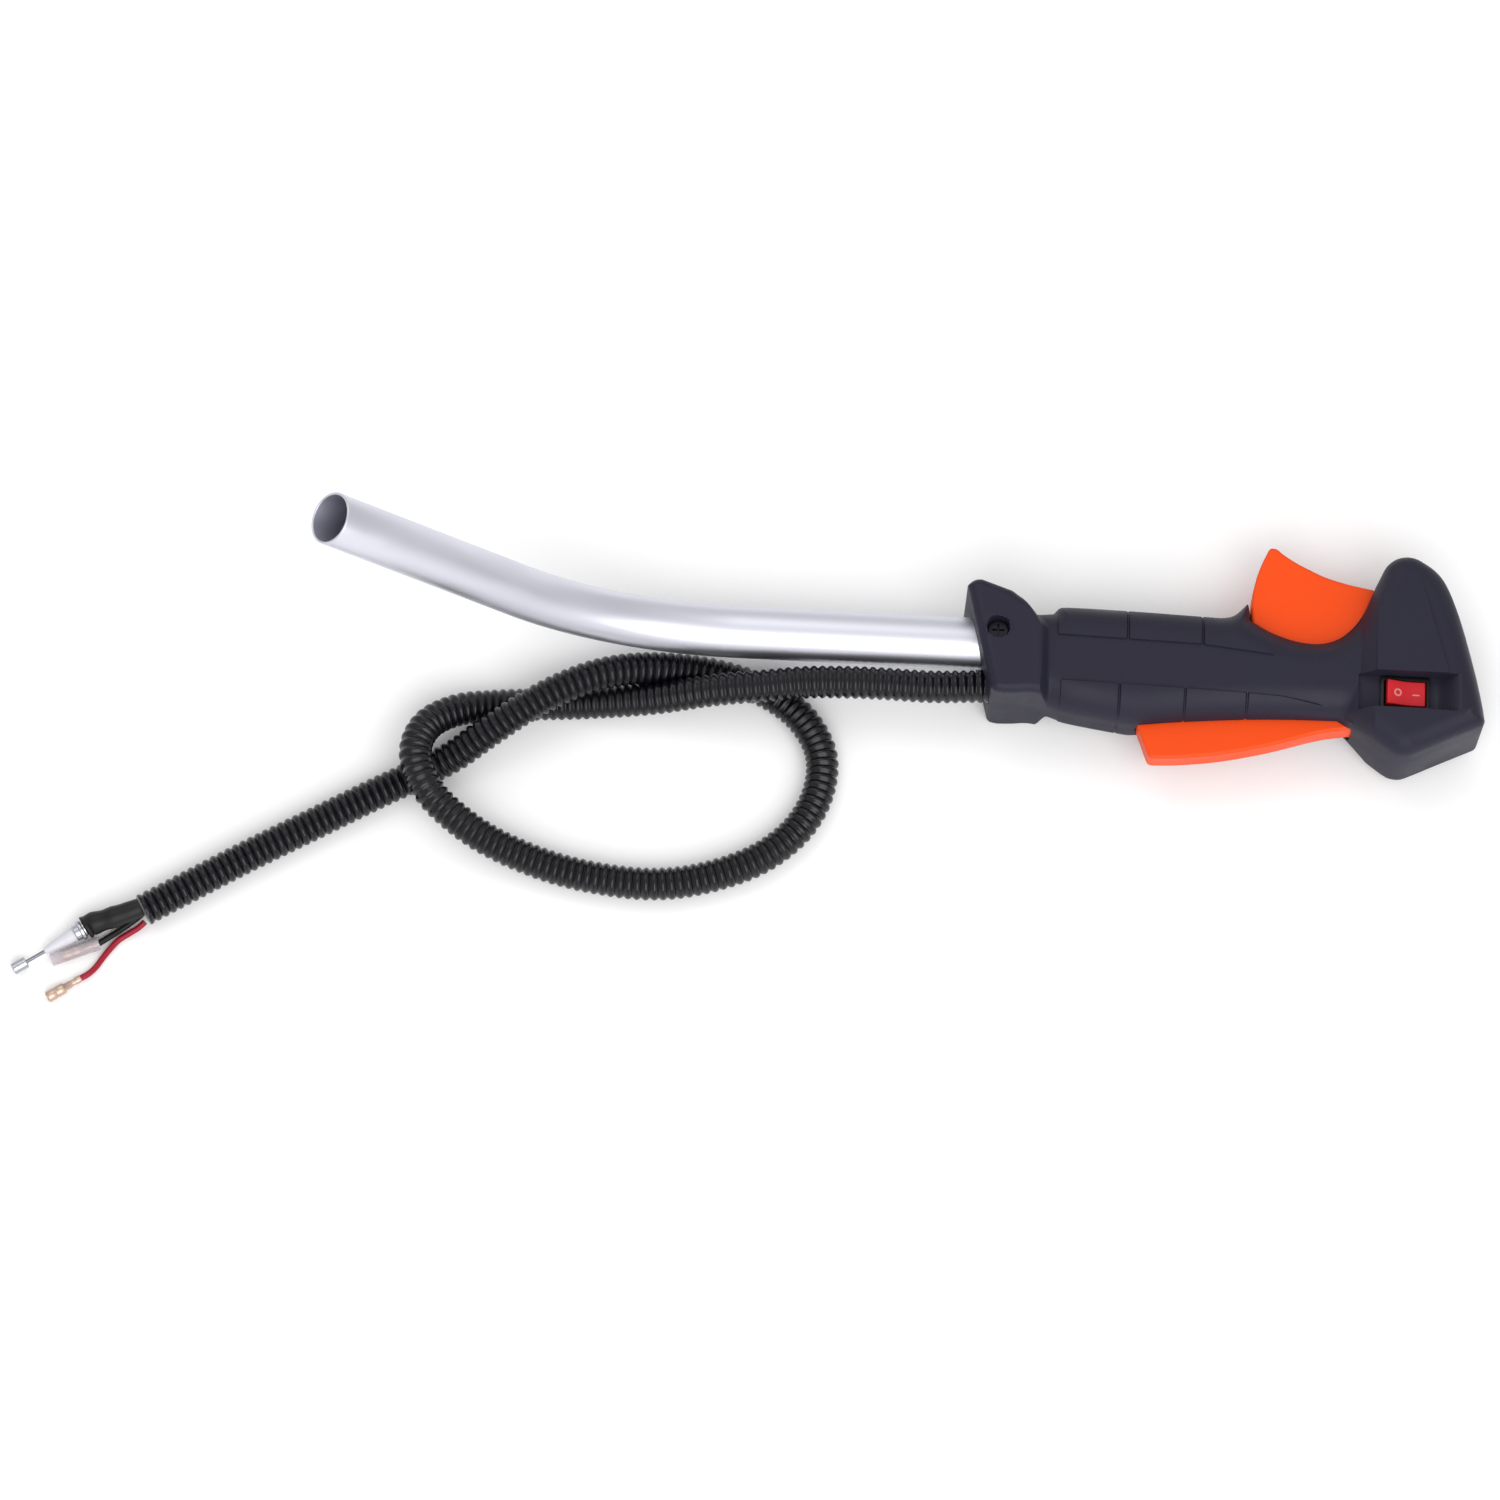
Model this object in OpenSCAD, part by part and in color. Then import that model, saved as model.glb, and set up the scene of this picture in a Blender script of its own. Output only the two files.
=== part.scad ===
// Throttle handle of an engine tool: a two-half grip on a bent tube, with a trigger, a safety lever,
// a stop switch and a knotted conduit that carries the throttle cable and the switch wires.
// X runs along the tube towards the head, Z is up. The origin is on the resting surface, on the axis
// of the screw that locks the tube.

/* [Handlebar tube] */
// Outer diameter of the tube
tube_od = 22; // [20:0.5:24]
// Wall thickness of the tube
tube_wall = 1; // [0.8:0.1:1.5]
// How far the tube reaches into the grip past its lock screw
tube_in_grip = 75; // [62:1:80]
// Straight length from the lock screw to the bend
tube_straight = 108; // [90:1:140]
// Centreline radius of the bend
bend_radius = 130; // [100:1:160]
// Angle of the bend
bend_angle = 46; // [30:1:60]
// Straight length past the bend
tube_end_length = 108.5; // [60:0.5:160]

/* [Grip shells] */
// Half thickness of the collar and the head
collar_half = 24; // [23:0.5:29]
// Half thickness of the grip
grip_half = 19; // [18:0.5:22]
// Wall thickness of the shells
wall = 2.5; // [2:0.1:3]
// Edge rounding of the grip
grip_round = 14; // [10:1:15]
// Edge rounding of the head
head_round = 10; // [7:1:12]
// Edge rounding of the collar
collar_round = 4; // [2:1:5]

/* [Trigger] */
// Thickness of the trigger
trigger_thick = 14; // [10:0.5:16]
// Travel of the trigger in degrees
trigger_travel = 15; // [10:1:18]
// Distance from the trigger's pivot to the throttle cable
cable_arm = 30; // [29:0.5:32]

/* [Safety lever] */
// Thickness of the safety lever
lever_thick = 12; // [8:0.5:14]
// Travel of the safety lever in degrees
lever_travel = 9; // [6:0.5:10]

/* [Switch] */
// Length of the switch bezel
bezel_l = 21; // [20:0.5:24]
// Width of the switch bezel
bezel_w = 15; // [14:0.5:17]
// Depth of the switch below the head's face
switch_recess = 6; // [5:0.5:7]
// Rocker tilt to each side in degrees
rocker_tilt = 10; // [7:1:12]

/* [Pins and screws] */
// Radius of the pivot pins of the trigger and the lever
pin_r = 2.5; // [2:0.1:3]
// Radius of the tube lock screw
lock_r = 2.5; // [2:0.25:3]
// Radius of the shell screws
screw_r = 1.75; // [1.5:0.05:2]

/* [Conduit and wires] */
// Outer diameter of the corrugated conduit
conduit_d = 14; // [12:0.5:14]
// Diameter of the throttle cable's sheath
sheath_d = 5; // [4:0.5:5.5]
// Diameter of the throttle cable's inner wire
inner_d = 1.5; // [1.2:0.1:2]
// Diameter of the switch wires
wire_d = 2.6; // [2:0.1:3]

/* [Hidden] */
$fn = 48;

// Heights and clearances
zp = collar_half;                   // parting plane of the shells and axis of the tube
deck = zp + collar_half;            // near face of the head and the collar
seat_fit = 0.05;                    // radial clearance of a seated piece
run_fit = 0.06;                     // radial clearance of a running pin
pin_half = grip_half - wall - 2;    // half length of a pivot pin
gap = 0.4;                          // room around a moving piece

// How the tube's bend joins its straights
bend_lap = 1;
bend_thinner = 0.05;

// Trigger, its pivot and the cable nipple in its arm
trigger_pivot = [164, 19];
trigger_reach = 57;                 // pivot to round front edge
trigger_tip = [114.6, 46.5];
trigger_low = 186.5;                // where the round front edge ends inside the body
trigger_top = [[119, 43.6], [125.5, 39.8], [132, 36.6], [138.5, 34.2], [148, 31.8], [158, 30.4]];
trigger_under = [[168, 25], [170, 15], [160, 9], [146, 3.6], [135, 1.6], [124, 3.2], [114, 7.4]];
trigger_boss = pin_r + 5;
arm_angle = trigger_travel / 2;     // the arm starts this far before it is square to the cable
nipple_r = 2.5;
nipple_len = 7;
nipple_at = trigger_pivot - cable_arm * [sin(arm_angle), cos(arm_angle)];
arm_thick = 9;
arm_eye = nipple_r + 2.4;
cable_y = nipple_at[1];

// Safety lever
lever_pivot = [154, -26];
lever_boss = pin_r + 3.8;
lever_edge = [[148, -20.5], [120, -25], [90, -28.4], [60.5, -30.6], [59.6, -33.5], [65.8, -48.6],
    [76, -48.4], [96, -45.6], [116, -40.8], [136, -34.5], [150, -31]];

// Cable stop in the shells
stop_x = 122;                       // its face towards the trigger
stop_wall = 1.5;
ferrule_len = 11;
ferrule_r = sheath_d / 2 + 0.7;
stop_block = ferrule_r + 1.2;       // half height of the block around the ferrule

// Collar
conduit_y = -19;
conduit_in = 8;                     // where the conduit's end seats inside the collar
collar_end = 20;                    // inner face of the collar's block

// Switch
switch_at = [171.5, -19];
bezel_t = 1.6;
switch_face = deck - switch_recess;
switch_floor = switch_face - bezel_t;
cut_l = bezel_l - 2;                // switch body and its cut-out
cut_w = bezel_w - 2;
housing_depth = 10.5;
rocker_l = bezel_l - 4.2;
rocker_w = bezel_w - 4.4;
rocker_z = switch_face - 1.2;       // axis of the rocker
channel_x = [152, 192];             // ends of the channel that the switch sits in
terminal_x = 3.6;                   // each terminal's distance from the switch's middle
terminal_len = 6.5;
wire_end_z = switch_floor - housing_depth - terminal_len - 0.7;

// Screws and the trapped nut
lock_head_r = 4;
lock_head_h = 3;
lock_seat = deck - 8;
lock_tip = 2.6;
nut_af = 8;
nut_h = 4;
nut_z = 5;
screw_at = [[-3, 15.2], [92, 0], [178, 32], [189, 0], [171, -38]];
screw_head_r = 3.2;
screw_head_h = 2.2;
screw_seat = zp - grip_half + 3;    // height of a screw head's seat
screw_len = 24;
screw_boss = 4.6;

// Torsion springs
coil_turns = 3;
coil_wire = 1;
coil_lift = gap + 0.6;              // a spring's height over the plate it turns
spring_room = [7, 5.6];             // radius and height of its pocket in the near shell

// Wires inside the grip
sheath_z = zp + max(trigger_thick, lever_thick) / 2 + 4;
wire_z = zp - lever_thick / 2 - 3.6;

dark = [0.20, 0.20, 0.26];
orange = [1.0, 0.37, 0.13];
alloy = [0.82, 0.81, 0.86];
steel = [0.7, 0.7, 0.72];
brass = [0.79, 0.66, 0.45];

// Outline of the body seen from above, then the areas of each thickness.
nose = [for (a = [160:-20:20]) [172, 32.3] + 11 * [cos(a), sin(a)]];
outline = concat(
    [[-13.5, 18.6], [-8, 21.4], [6.5, 16.6], [12, 14.2], [20, 13.2], [25, 14.8], [54, 15.4], [86, 14.4],
    [95, 14.4], [100, 16], [105, 21], [106, 13.6], [115, 9], [125, 5.6], [135, 4.6], [143, 6.8],
    [149, 11.5], [154, 18.5], [158.5, 29]],
    nose,
    [[188, 28.5], [193.5, 17], [199.5, -1.5], [203.5, -19], [205.3, -30], [174, -45.8], [167, -45],
    [160, -40.5], [150, -32.5], [144, -28.8], [125, -29.2], [105, -30.2], [78, -32.6], [56, -35],
    [45, -33.4], [30, -31.8], [21, -29.2], [14.5, -28.6], [-1.5, -28.8]]);
collar_area = [[-30, -60], [-30, 60], [9, 60], [17, 14], [20, 0], [20, -60]];
grip_area = [[5, -70], [5, 70], [230, 70], [230, -70]];
head_area = [[151, 70], [151, -12], [147, -24], [140, -31], [140, -70], [230, -70], [230, 70]];

// Routes of what is flexible. The conduit leaves the collar, passes over itself, turns back round the
// loop, comes up through it and runs out to its free end.
conduit_route = [[conduit_in, conduit_y, zp], [-5, conduit_y, zp], [-27, -20, zp - 0.5],
    [-52, -19.5, zp - 1], [-77, -20, zp - 2], [-97, -22.5, zp - 2.5], [-119, -24.5, zp - 6], [-144, -27, 10.5], [-169, -29, 7.2], [-193, -31, 7.2],
    [-210, -33, 8.5], [-226, -37, 12.5], [-238, -46, 17.5], [-242, -59.5, 21.5], [-237, -73.5, 21.5],
    [-226, -84, 17], [-208, -94, 11], [-183, -102.5, 7.5], [-158, -107, 7], [-136, -107.5, 7],
    [-115, -103, 7], [-95, -94, 7], [-80, -80.5, 7], [-72, -64, 7], [-71.5, -47, 7], [-80, -32, 7],
    [-94, -21.5, 7], [-111, -15.5, 7.5], [-130, -13.5, 10], [-149, -15.5, 15.5], [-166, -20.5, 20.5],
    [-182, -28, 22], [-197, -37, 20.5], [-212, -47, 16], [-226, -56.5, 10.5], [-241, -64.5, 7.2],
    [-260, -75, 7], [-284, -89, 7], [-309, -103.5, 7], [-331, -117, 7], [-352, -130, 7]];
boot_route = [[-353.1, -129.4, 9.4], [-355.6, -130.7, 9.3], [-364, -133.9, 8], [-373, -136.85, 6.25],
    [-375.95, -138.77, 6]];
red_route = [[-351.4, -134.4, 4.5], [-354, -136.8, 3.4], [-358, -139.3, 2.2], [-362.5, -142.6, 1.6],
    [-367.2, -148.8, 1.5], [-370.4, -153.9, 1.5], [-373.3, -157.3, 1.9], [-376.6, -159.6, 2]];
black_route = [[-353, -130.9, 3.2], [-356, -133.4, 2.6], [-361, -137.4, 2.4], [-365.8, -141.2, 2.8],
    [-370, -144.3, 2.9]];
sheath_route = [[10.5, conduit_y, zp + 2.6], [21, conduit_y, zp + 3.1], [32, conduit_y, sheath_z - 3.2],
    [42, conduit_y, sheath_z], [80, conduit_y, sheath_z], [92, conduit_y + 3, sheath_z - 1.5],
    [101, conduit_y + 7.5, zp + 4.5], [stop_x - stop_wall - ferrule_len - 3, cable_y, zp],
    [stop_x - stop_wall - ferrule_len, cable_y, zp]];
red_inside = [[10.5, conduit_y + 1.9, zp - 3.2], [21, conduit_y + 1.8, zp - 3.4], [36, conduit_y + 1.5, wire_z],
    [120, conduit_y + 1.5, wire_z], [140, -13, wire_z], [158, -14.5, wire_z], [165, -18, wire_z + 2.5],
    [switch_at[0] - terminal_x, switch_at[1], wire_end_z]];
black_inside = [[10.5, conduit_y - 1.9, zp - 3.2], [21, conduit_y - 2, zp - 3.4],
    [36, conduit_y - 2.5, wire_z - 1], [120, conduit_y - 2.5, wire_z - 1], [140, -16.5, wire_z - 3],
    [160, -17.5, wire_z - 3.4], [171, -19, wire_z - 1], [switch_at[0] + terminal_x, switch_at[1], wire_end_z]];

// Free end of the throttle cable and the two bullet terminals
far_start = [-376, -138.8, 6];
far_dir = [-0.836, -0.544, -0.07];
far_ferrule_len = 5;
far_nose_len = 14.5;
far_bore = 15;                      // free depth of the inner wire's hole, from the nose's tip
far_wire_in = 5;
far_wire_out = 8.6;
far_nipple_len = 6.5;
bullet_dir = [-0.822, -0.569, 0.02];
sleeve_dir = [-0.92, -0.39, 0];

function unit(v) = v / norm(v);

function ring(p, t, r, sides) =
    let (n = unit(cross([0, 0, 1], t)), b = cross(t, n))
    [for (k = [0:sides - 1]) p + r * (cos(360 * k / sides) * n + sin(360 * k / sides) * b)];

// A round cord along a list of points, from diameter d to diameter d_end.
module cord(route, d, sides, d_end = 0) {
    last = len(route) - 1;
    rings = [for (i = [0:last])
        let (t = unit(route[min(i + 1, last)] - route[max(i - 1, 0)]),
            r = (d_end == 0 ? d : d + (d_end - d) * i / last) / 2)
        each ring(route[i], t, r, sides)];
    walls = [for (i = [0:last - 1], k = [0:sides - 1])
        let (a = i * sides + k, b = i * sides + (k + 1) % sides)
        each [[a, a + sides, b + sides], [a, b + sides, b]]];
    start = [for (k = [0:sides - 1]) k];
    end = [for (k = [sides - 1:-1:0]) last * sides + k];
    polyhedron(rings, concat(walls, [start], [end]));
}

function swung(p, pivot, angle) =
    let (d = p - pivot) pivot + [d[0] * cos(angle) - d[1] * sin(angle), d[0] * sin(angle) + d[1] * cos(angle)];

// Puts a piece that is drawn along +Z from the origin onto a point, along a direction.
module along(start, dir) {
    v = unit(dir);
    translate(start) rotate([0, acos(v[2]), atan2(v[1], v[0])]) children();
}

// Puts a piece that is drawn about +Z from the origin onto +X, at the parting plane's height.
module along_x(x, y) {
    translate([x, y, zp]) rotate([0, 90, 0]) children();
}

function step_height(half, edge, i, steps) = half - edge * (1 - sin(90 * i / steps));
function step_cut(edge, i, steps) = edge * (1 - cos(90 * max(0, i - 0.5) / steps));

// A flat area raised both ways from the parting plane, its edges rounded in steps.
module rounded_slab(half, edge, steps) {
    for (i = [0:steps])
        slab(2 * step_height(half, edge, i, steps)) offset(delta = -step_cut(edge, i, steps)) children();
}

// The hollow under such a form, one wall inside it.
module hollow_slab(half, edge, steps) {
    for (i = [1:steps])
        slab(2 * (step_height(half, edge, i, steps) - wall))
            offset(delta = -step_cut(edge, i, steps) - wall) children();
}

module area(limits) {
    intersection() {
        polygon(outline);
        polygon(limits);
    }
}

module body_form() {
    rounded_slab(grip_half, grip_round, 3) area(grip_area);
    rounded_slab(collar_half, head_round, 2) area(head_area);
}

module hollow_form() {
    hollow_slab(grip_half, grip_round, 3) area(grip_area);
    hollow_slab(collar_half, head_round, 2) area(head_area);
}

module turned(pivot, angle) {
    translate([pivot[0], pivot[1], 0]) rotate([0, 0, angle]) translate([-pivot[0], -pivot[1], 0]) children();
}

module trigger_plate() {
    front = [for (a = [trigger_low:-5.2:155]) trigger_pivot + trigger_reach * [cos(a), sin(a)]];
    polygon(concat(front, [trigger_tip], trigger_top, trigger_under));
    translate(trigger_pivot) circle(trigger_boss);
}

module trigger_arm() {
    polygon([trigger_pivot + [-4.5, 0], trigger_pivot + [4.5, 0], nipple_at + [arm_eye, 0],
        nipple_at - [arm_eye, 0]]);
    translate(nipple_at) circle(arm_eye);
}

module lever_plate() {
    polygon(lever_edge);
    translate(lever_pivot) circle(lever_boss);
}

module slab(thick) {
    translate([0, 0, zp - thick / 2]) linear_extrude(thick) children();
}

// The room that a moving piece sweeps through.
module trigger_room() {
    slab(trigger_thick + 2 * gap) offset(delta = gap)
        for (a = [0:trigger_travel / 2:trigger_travel]) turned(trigger_pivot, a) trigger_plate($fn = 24);
    slab(arm_thick + 2 * gap) offset(delta = gap)
        for (a = [0:trigger_travel / 2:trigger_travel]) turned(trigger_pivot, a) trigger_arm($fn = 24);
}

module lever_room() {
    end = [for (i = [0:4]) swung(lever_edge[4], lever_pivot, -lever_travel * i / 4)];
    slab(lever_thick + 2 * gap) offset(delta = gap) {
        for (a = [0:lever_travel / 2:lever_travel]) turned(lever_pivot, -a) lever_plate($fn = 24);
        polygon(concat(end, [end[4] + [14, -2], end[0] + [14, -6]]));
    }
}

// What stays solid inside the shells: ribs round the tube, bosses, the cable stop and the switch seat.
module kept_inside() {
    for (x = [tube_in_grip - 35, tube_in_grip - 10])
        translate([x, -tube_od / 2 - 2.5, 0]) cube([3, 60, 2 * deck]);
    translate([tube_in_grip, -3, 0]) cube([3, 60, 2 * deck]);
    for (p = screw_at)
        translate([p[0], p[1], 0]) cylinder(r = screw_boss, h = deck);
    for (p = [trigger_pivot, lever_pivot])
        translate([p[0], p[1], 0]) cylinder(r = pin_r + 3, h = deck);
    translate([stop_x - stop_wall - ferrule_len, cable_y - stop_block, 0])
        cube([stop_wall + ferrule_len, 2 * stop_block, deck]);
    translate([channel_x[0], switch_at[1] - bezel_w / 2 - wall, switch_floor - wall])
        cube([channel_x[1] - channel_x[0] + wall, bezel_w + 2 * wall, deck]);
}

// Both shells in one, before the parting plane divides them.
module shell_body() {
    difference() {
        union() {
            rounded_slab(collar_half, collar_round, 1) area(collar_area);
            difference() {
                body_form();
                difference() {
                    hollow_form();
                    translate([-50, -70, 0]) cube([50 + collar_end, 140, 2 * deck]);
                    kept_inside();
                }
            }
        }
        trigger_room();
        lever_room();
        along_x(-50, 0) cylinder(r = tube_od / 2 + seat_fit, h = 50 + tube_in_grip);
        along_x(-50, conduit_y) cylinder(r = conduit_d / 2 + 0.3, h = 50 + conduit_in);
        along_x(0, conduit_y) cylinder(r = conduit_d / 2 - 1.1, h = collar_end + 1);
        along_x(stop_x - stop_wall - ferrule_len - 1, cable_y) cylinder(r = ferrule_r + seat_fit, h = ferrule_len + 1);
        along_x(stop_x - 5, cable_y) cylinder(r = inner_d / 2 + 0.5, h = 6);
        translate([0, 0, lock_tip - 0.6]) cylinder(r = lock_r + seat_fit, h = deck);
        translate([0, 0, lock_seat]) cylinder(r = lock_head_r + 0.5, h = deck);
        translate([0, 0, nut_z]) cylinder(r = nut_af / 2 / cos(30) + 0.1, h = zp - nut_z, $fn = 6);
        for (p = [trigger_pivot, lever_pivot])
            translate([p[0], p[1], zp - pin_half]) cylinder(r = pin_r + seat_fit, h = 2 * pin_half);
        for (s = [[trigger_pivot, trigger_thick], [lever_pivot, lever_thick]])
            translate([s[0][0], s[0][1], zp + s[1] / 2]) cylinder(r = spring_room[0], h = spring_room[1]);
        for (p = screw_at) {
            translate([p[0], p[1], screw_seat - 1]) cylinder(r = screw_r + seat_fit, h = screw_len + 1.5);
            translate([p[0], p[1], -1]) cylinder(r = screw_head_r + 0.4, h = screw_seat + 1);
        }
        translate([channel_x[0], switch_at[1] - bezel_w / 2 - 0.2, switch_floor])
            cube([channel_x[1] - channel_x[0], bezel_w + 0.4, deck]);
        translate([switch_at[0] - cut_l / 2 - 0.1, switch_at[1] - cut_w / 2 - 0.1, switch_floor - 8])
            cube([cut_l + 0.2, cut_w + 0.2, deck]);
    }
}

module near_shell() {
    color(dark) intersection() {
        shell_body();
        translate([-60, -80, zp]) cube([320, 160, deck]);
    }
}

module far_shell() {
    color(dark) intersection() {
        shell_body();
        translate([-60, -80, zp - deck]) cube([320, 160, deck]);
    }
}

module tube_profile(thinner = 0) {
    difference() {
        circle(r = tube_od / 2 - thinner);
        circle(r = tube_od / 2 - tube_wall + thinner);
    }
}

// The bend is drawn a hair thinner than the straights, which reach a little way into it.
module handlebar_tube() {
    color(alloy) difference() {
        union() {
            along_x(-tube_straight - bend_lap, 0)
                linear_extrude(bend_lap + tube_straight + tube_in_grip) tube_profile();
            translate([-tube_straight, 0, zp + bend_radius]) rotate([90, 0, 0])
                rotate_extrude(angle = bend_angle, start = 270 - bend_angle)
                translate([bend_radius, 0]) tube_profile(thinner = bend_thinner);
            translate([-tube_straight, 0, zp + bend_radius]) rotate([0, bend_angle, 0])
                translate([bend_lap, 0, -bend_radius]) rotate([0, -90, 0])
                linear_extrude(bend_lap + tube_end_length) tube_profile();
        }
        translate([0, 0, zp - tube_od]) cylinder(r = lock_r + 0.3, h = 2 * tube_od);
    }
}

// A screw that stands point down: its head's seat is at z = 0.
module screw(r, len, head_r, head_h, slot) {
    translate([0, 0, -len]) cylinder(r = r, h = len);
    difference() {
        cylinder(r = head_r, h = head_h);
        for (a = [0, 90])
            rotate([0, 0, a]) translate([-slot, -slot / 6, head_h / 2]) cube([2 * slot, slot / 3, head_h]);
    }
}

module tube_lock_screw() {
    color(steel) translate([0, 0, lock_seat]) screw(lock_r, lock_seat - lock_tip, lock_head_r, lock_head_h, 2.6);
}

module tube_lock_nut() {
    color(steel) translate([0, 0, nut_z]) difference() {
        cylinder(r = nut_af / 2 / cos(30), h = nut_h, $fn = 6);
        translate([0, 0, -1]) cylinder(r = lock_r + 0.02, h = nut_h + 2);
    }
}

module shell_screws() {
    color(steel) for (p = screw_at)
        translate([p[0], p[1], screw_seat]) mirror([0, 0, 1]) screw(screw_r, screw_len, screw_head_r, screw_head_h, 2);
}

module pin_hole(at, r) {
    translate([at[0], at[1], 0]) cylinder(r = r, h = deck);
}

module throttle_trigger() {
    color(orange) difference() {
        union() {
            slab(trigger_thick) trigger_plate();
            slab(arm_thick) trigger_arm();
        }
        pin_hole(trigger_pivot, pin_r + run_fit);
        translate([nipple_at[0], nipple_at[1], zp - nipple_len / 2 - 0.3])
            cylinder(r = nipple_r + 0.5, h = nipple_len + 0.6);
        // the cable's slot, open towards the cable stop
        translate([nipple_at[0] - 2 * arm_eye, cable_y - 4, zp - inner_d / 2 - 0.4])
            cube([2 * arm_eye, 12, inner_d + 0.8]);
    }
}

module pivot_pin(at) {
    color(steel) translate([at[0], at[1], zp - pin_half]) cylinder(r = pin_r, h = 2 * pin_half);
}

module trigger_pivot_pin() {
    pivot_pin(trigger_pivot);
}

module lever_pivot_pin() {
    pivot_pin(lever_pivot);
}

// A torsion spring round a pivot, with a leg at each end.
module torsion_spring(at, low, coil_r, leg_a, leg_b, leg) {
    turn = 24;
    a0 = leg_a + 90;
    coil = [for (i = [0:coil_turns * turn + round((leg_b - leg_a) / 360 * turn)])
        [at[0] + coil_r * cos(a0 + 360 * i / turn), at[1] + coil_r * sin(a0 + 360 * i / turn),
        low + (coil_wire + 0.15) * i / turn]];
    first = coil[0];
    last = coil[len(coil) - 1];
    a1 = a0 + 360 * (len(coil) - 1) / turn;
    cord(concat([first + leg * [sin(a0), -cos(a0), 0]], coil, [last + leg * [-sin(a1), cos(a1), 0]]), coil_wire, 6);
}

module trigger_return_spring() {
    color(steel) torsion_spring(trigger_pivot, zp + trigger_thick / 2 + coil_lift, pin_r + 0.9, 200, 290, 5);
}

module safety_lever() {
    color(orange) difference() {
        slab(lever_thick) lever_plate();
        pin_hole(lever_pivot, pin_r + run_fit);
    }
}

module lever_return_spring() {
    color(steel) torsion_spring(lever_pivot, zp + lever_thick / 2 + coil_lift, pin_r + 0.9, 190, 250, 5);
}

module switch_housing() {
    color([0.05, 0.05, 0.06]) translate([switch_at[0], switch_at[1], switch_floor]) difference() {
        union() {
            translate([-bezel_l / 2, -bezel_w / 2, 0]) cube([bezel_l, bezel_w, bezel_t]);
            translate([-cut_l / 2, -cut_w / 2, -housing_depth]) cube([cut_l, cut_w, housing_depth]);
        }
        translate([-rocker_l / 2 - 0.4, -rocker_w / 2 - 0.3, 1 - housing_depth])
            cube([rocker_l + 0.8, rocker_w + 0.6, housing_depth + bezel_t]);
        translate([0, 0, rocker_z - switch_floor]) rotate([90, 0, 0])
            cylinder(r = 1.2 + run_fit, h = rocker_w + 1.3, center = true);
    }
}

module rocker_button() {
    color([0.82, 0.24, 0.26]) translate([switch_at[0], switch_at[1], rocker_z]) rotate([0, rocker_tilt, 0])
        rotate([90, 0, 0]) {
            linear_extrude(rocker_w, center = true) intersection() {
                circle(r = rocker_l / 2);
                polygon([[-20, -3.2], [20, -3.2], [20, 4.7], [0, 1.4], [-20, 4.7]]);
            }
            cylinder(r = 1.2, h = rocker_w + 1.1, center = true);
        }
}

module switch_terminals() {
    color(brass) for (side = [-1, 1])
        translate([switch_at[0] + side * terminal_x - 0.4, switch_at[1] - 2.2,
            switch_floor - housing_depth - terminal_len]) cube([0.8, 4.4, terminal_len]);
}

module switch_wire_red() {
    color([0.7, 0.05, 0.12]) cord(red_inside, wire_d, 8);
}

module switch_wire_black() {
    color([0.06, 0.06, 0.06]) cord(black_inside, wire_d, 8);
}

module throttle_cable_sheath() {
    color([0.06, 0.06, 0.06]) cord(sheath_route, sheath_d, 10);
}

module cable_stop_ferrule() {
    color(steel) along_x(stop_x - stop_wall - ferrule_len, cable_y) difference() {
        cylinder(r = ferrule_r, h = ferrule_len);
        translate([0, 0, -1]) cylinder(r = inner_d / 2 + 0.15, h = ferrule_len + 2);
    }
}

module throttle_inner_wire() {
    color(steel) along_x(stop_x - stop_wall - ferrule_len + 1, cable_y)
        cylinder(r = inner_d / 2, h = nipple_at[0] - nipple_r - (stop_x - stop_wall - ferrule_len + 1));
}

module barrel_nipple() {
    color(steel) translate([nipple_at[0], nipple_at[1], zp - nipple_len / 2]) cylinder(r = nipple_r, h = nipple_len);
}

module corrugated_conduit() {
    color([0.06, 0.06, 0.07]) cord(conduit_route, conduit_d, 10);
}

module cable_boot() {
    color([0.05, 0.05, 0.06]) cord(boot_route, 8, 12, 10);
}

module cable_end_ferrule() {
    color([0.88, 0.88, 0.92]) along(far_start, far_dir) difference() {
        union() {
            cylinder(r = 3.4, h = far_ferrule_len);
            translate([0, 0, 1]) cylinder(r = 4.4, h = 1.6);
        }
        translate([0, 0, -1]) cylinder(r = inner_d / 2 + 0.15, h = far_ferrule_len + 2);
    }
}

module cable_nose() {
    color([0.85, 0.83, 0.82]) along(far_start + far_ferrule_len * unit(far_dir), far_dir) difference() {
        union() {
            cylinder(r = 2.9, h = 4);
            translate([0, 0, 4]) cylinder(r1 = 2.9, r2 = 1.5, h = far_nose_len - 4);
        }
        translate([0, 0, -1]) cylinder(r = inner_d / 2 + 0.15, h = far_nose_len + 2);
    }
}

module far_inner_wire() {
    tip = far_ferrule_len + far_nose_len;
    color(steel) along(far_start + (tip - far_wire_in) * unit(far_dir), far_dir)
        cylinder(r = inner_d / 2, h = far_wire_in + far_wire_out);
}

module far_nipple() {
    color(steel) along(far_start + (far_ferrule_len + far_nose_len + far_wire_out) * unit(far_dir), far_dir)
        cylinder(r = 2.5, h = far_nipple_len);
}

module red_wire() {
    color([0.7, 0.05, 0.2]) cord(red_route, wire_d, 8);
}

// A hollow brass bullet on its crimp, drawn along +Z from the wire's end.
module bullet() {
    difference() {
        union() {
            cylinder(r = wire_d / 2 + 0.2, h = 8);
            translate([0, 0, 7]) cylinder(r = 2.4, h = 9);
        }
        translate([0, 0, 10]) cylinder(r = 1.75, h = 7);
    }
}

module red_wire_bullet() {
    color(brass) along(red_route[len(red_route) - 1], bullet_dir) bullet();
}

module black_wire() {
    color([0.06, 0.06, 0.06]) cord(black_route, wire_d, 8);
}

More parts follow.
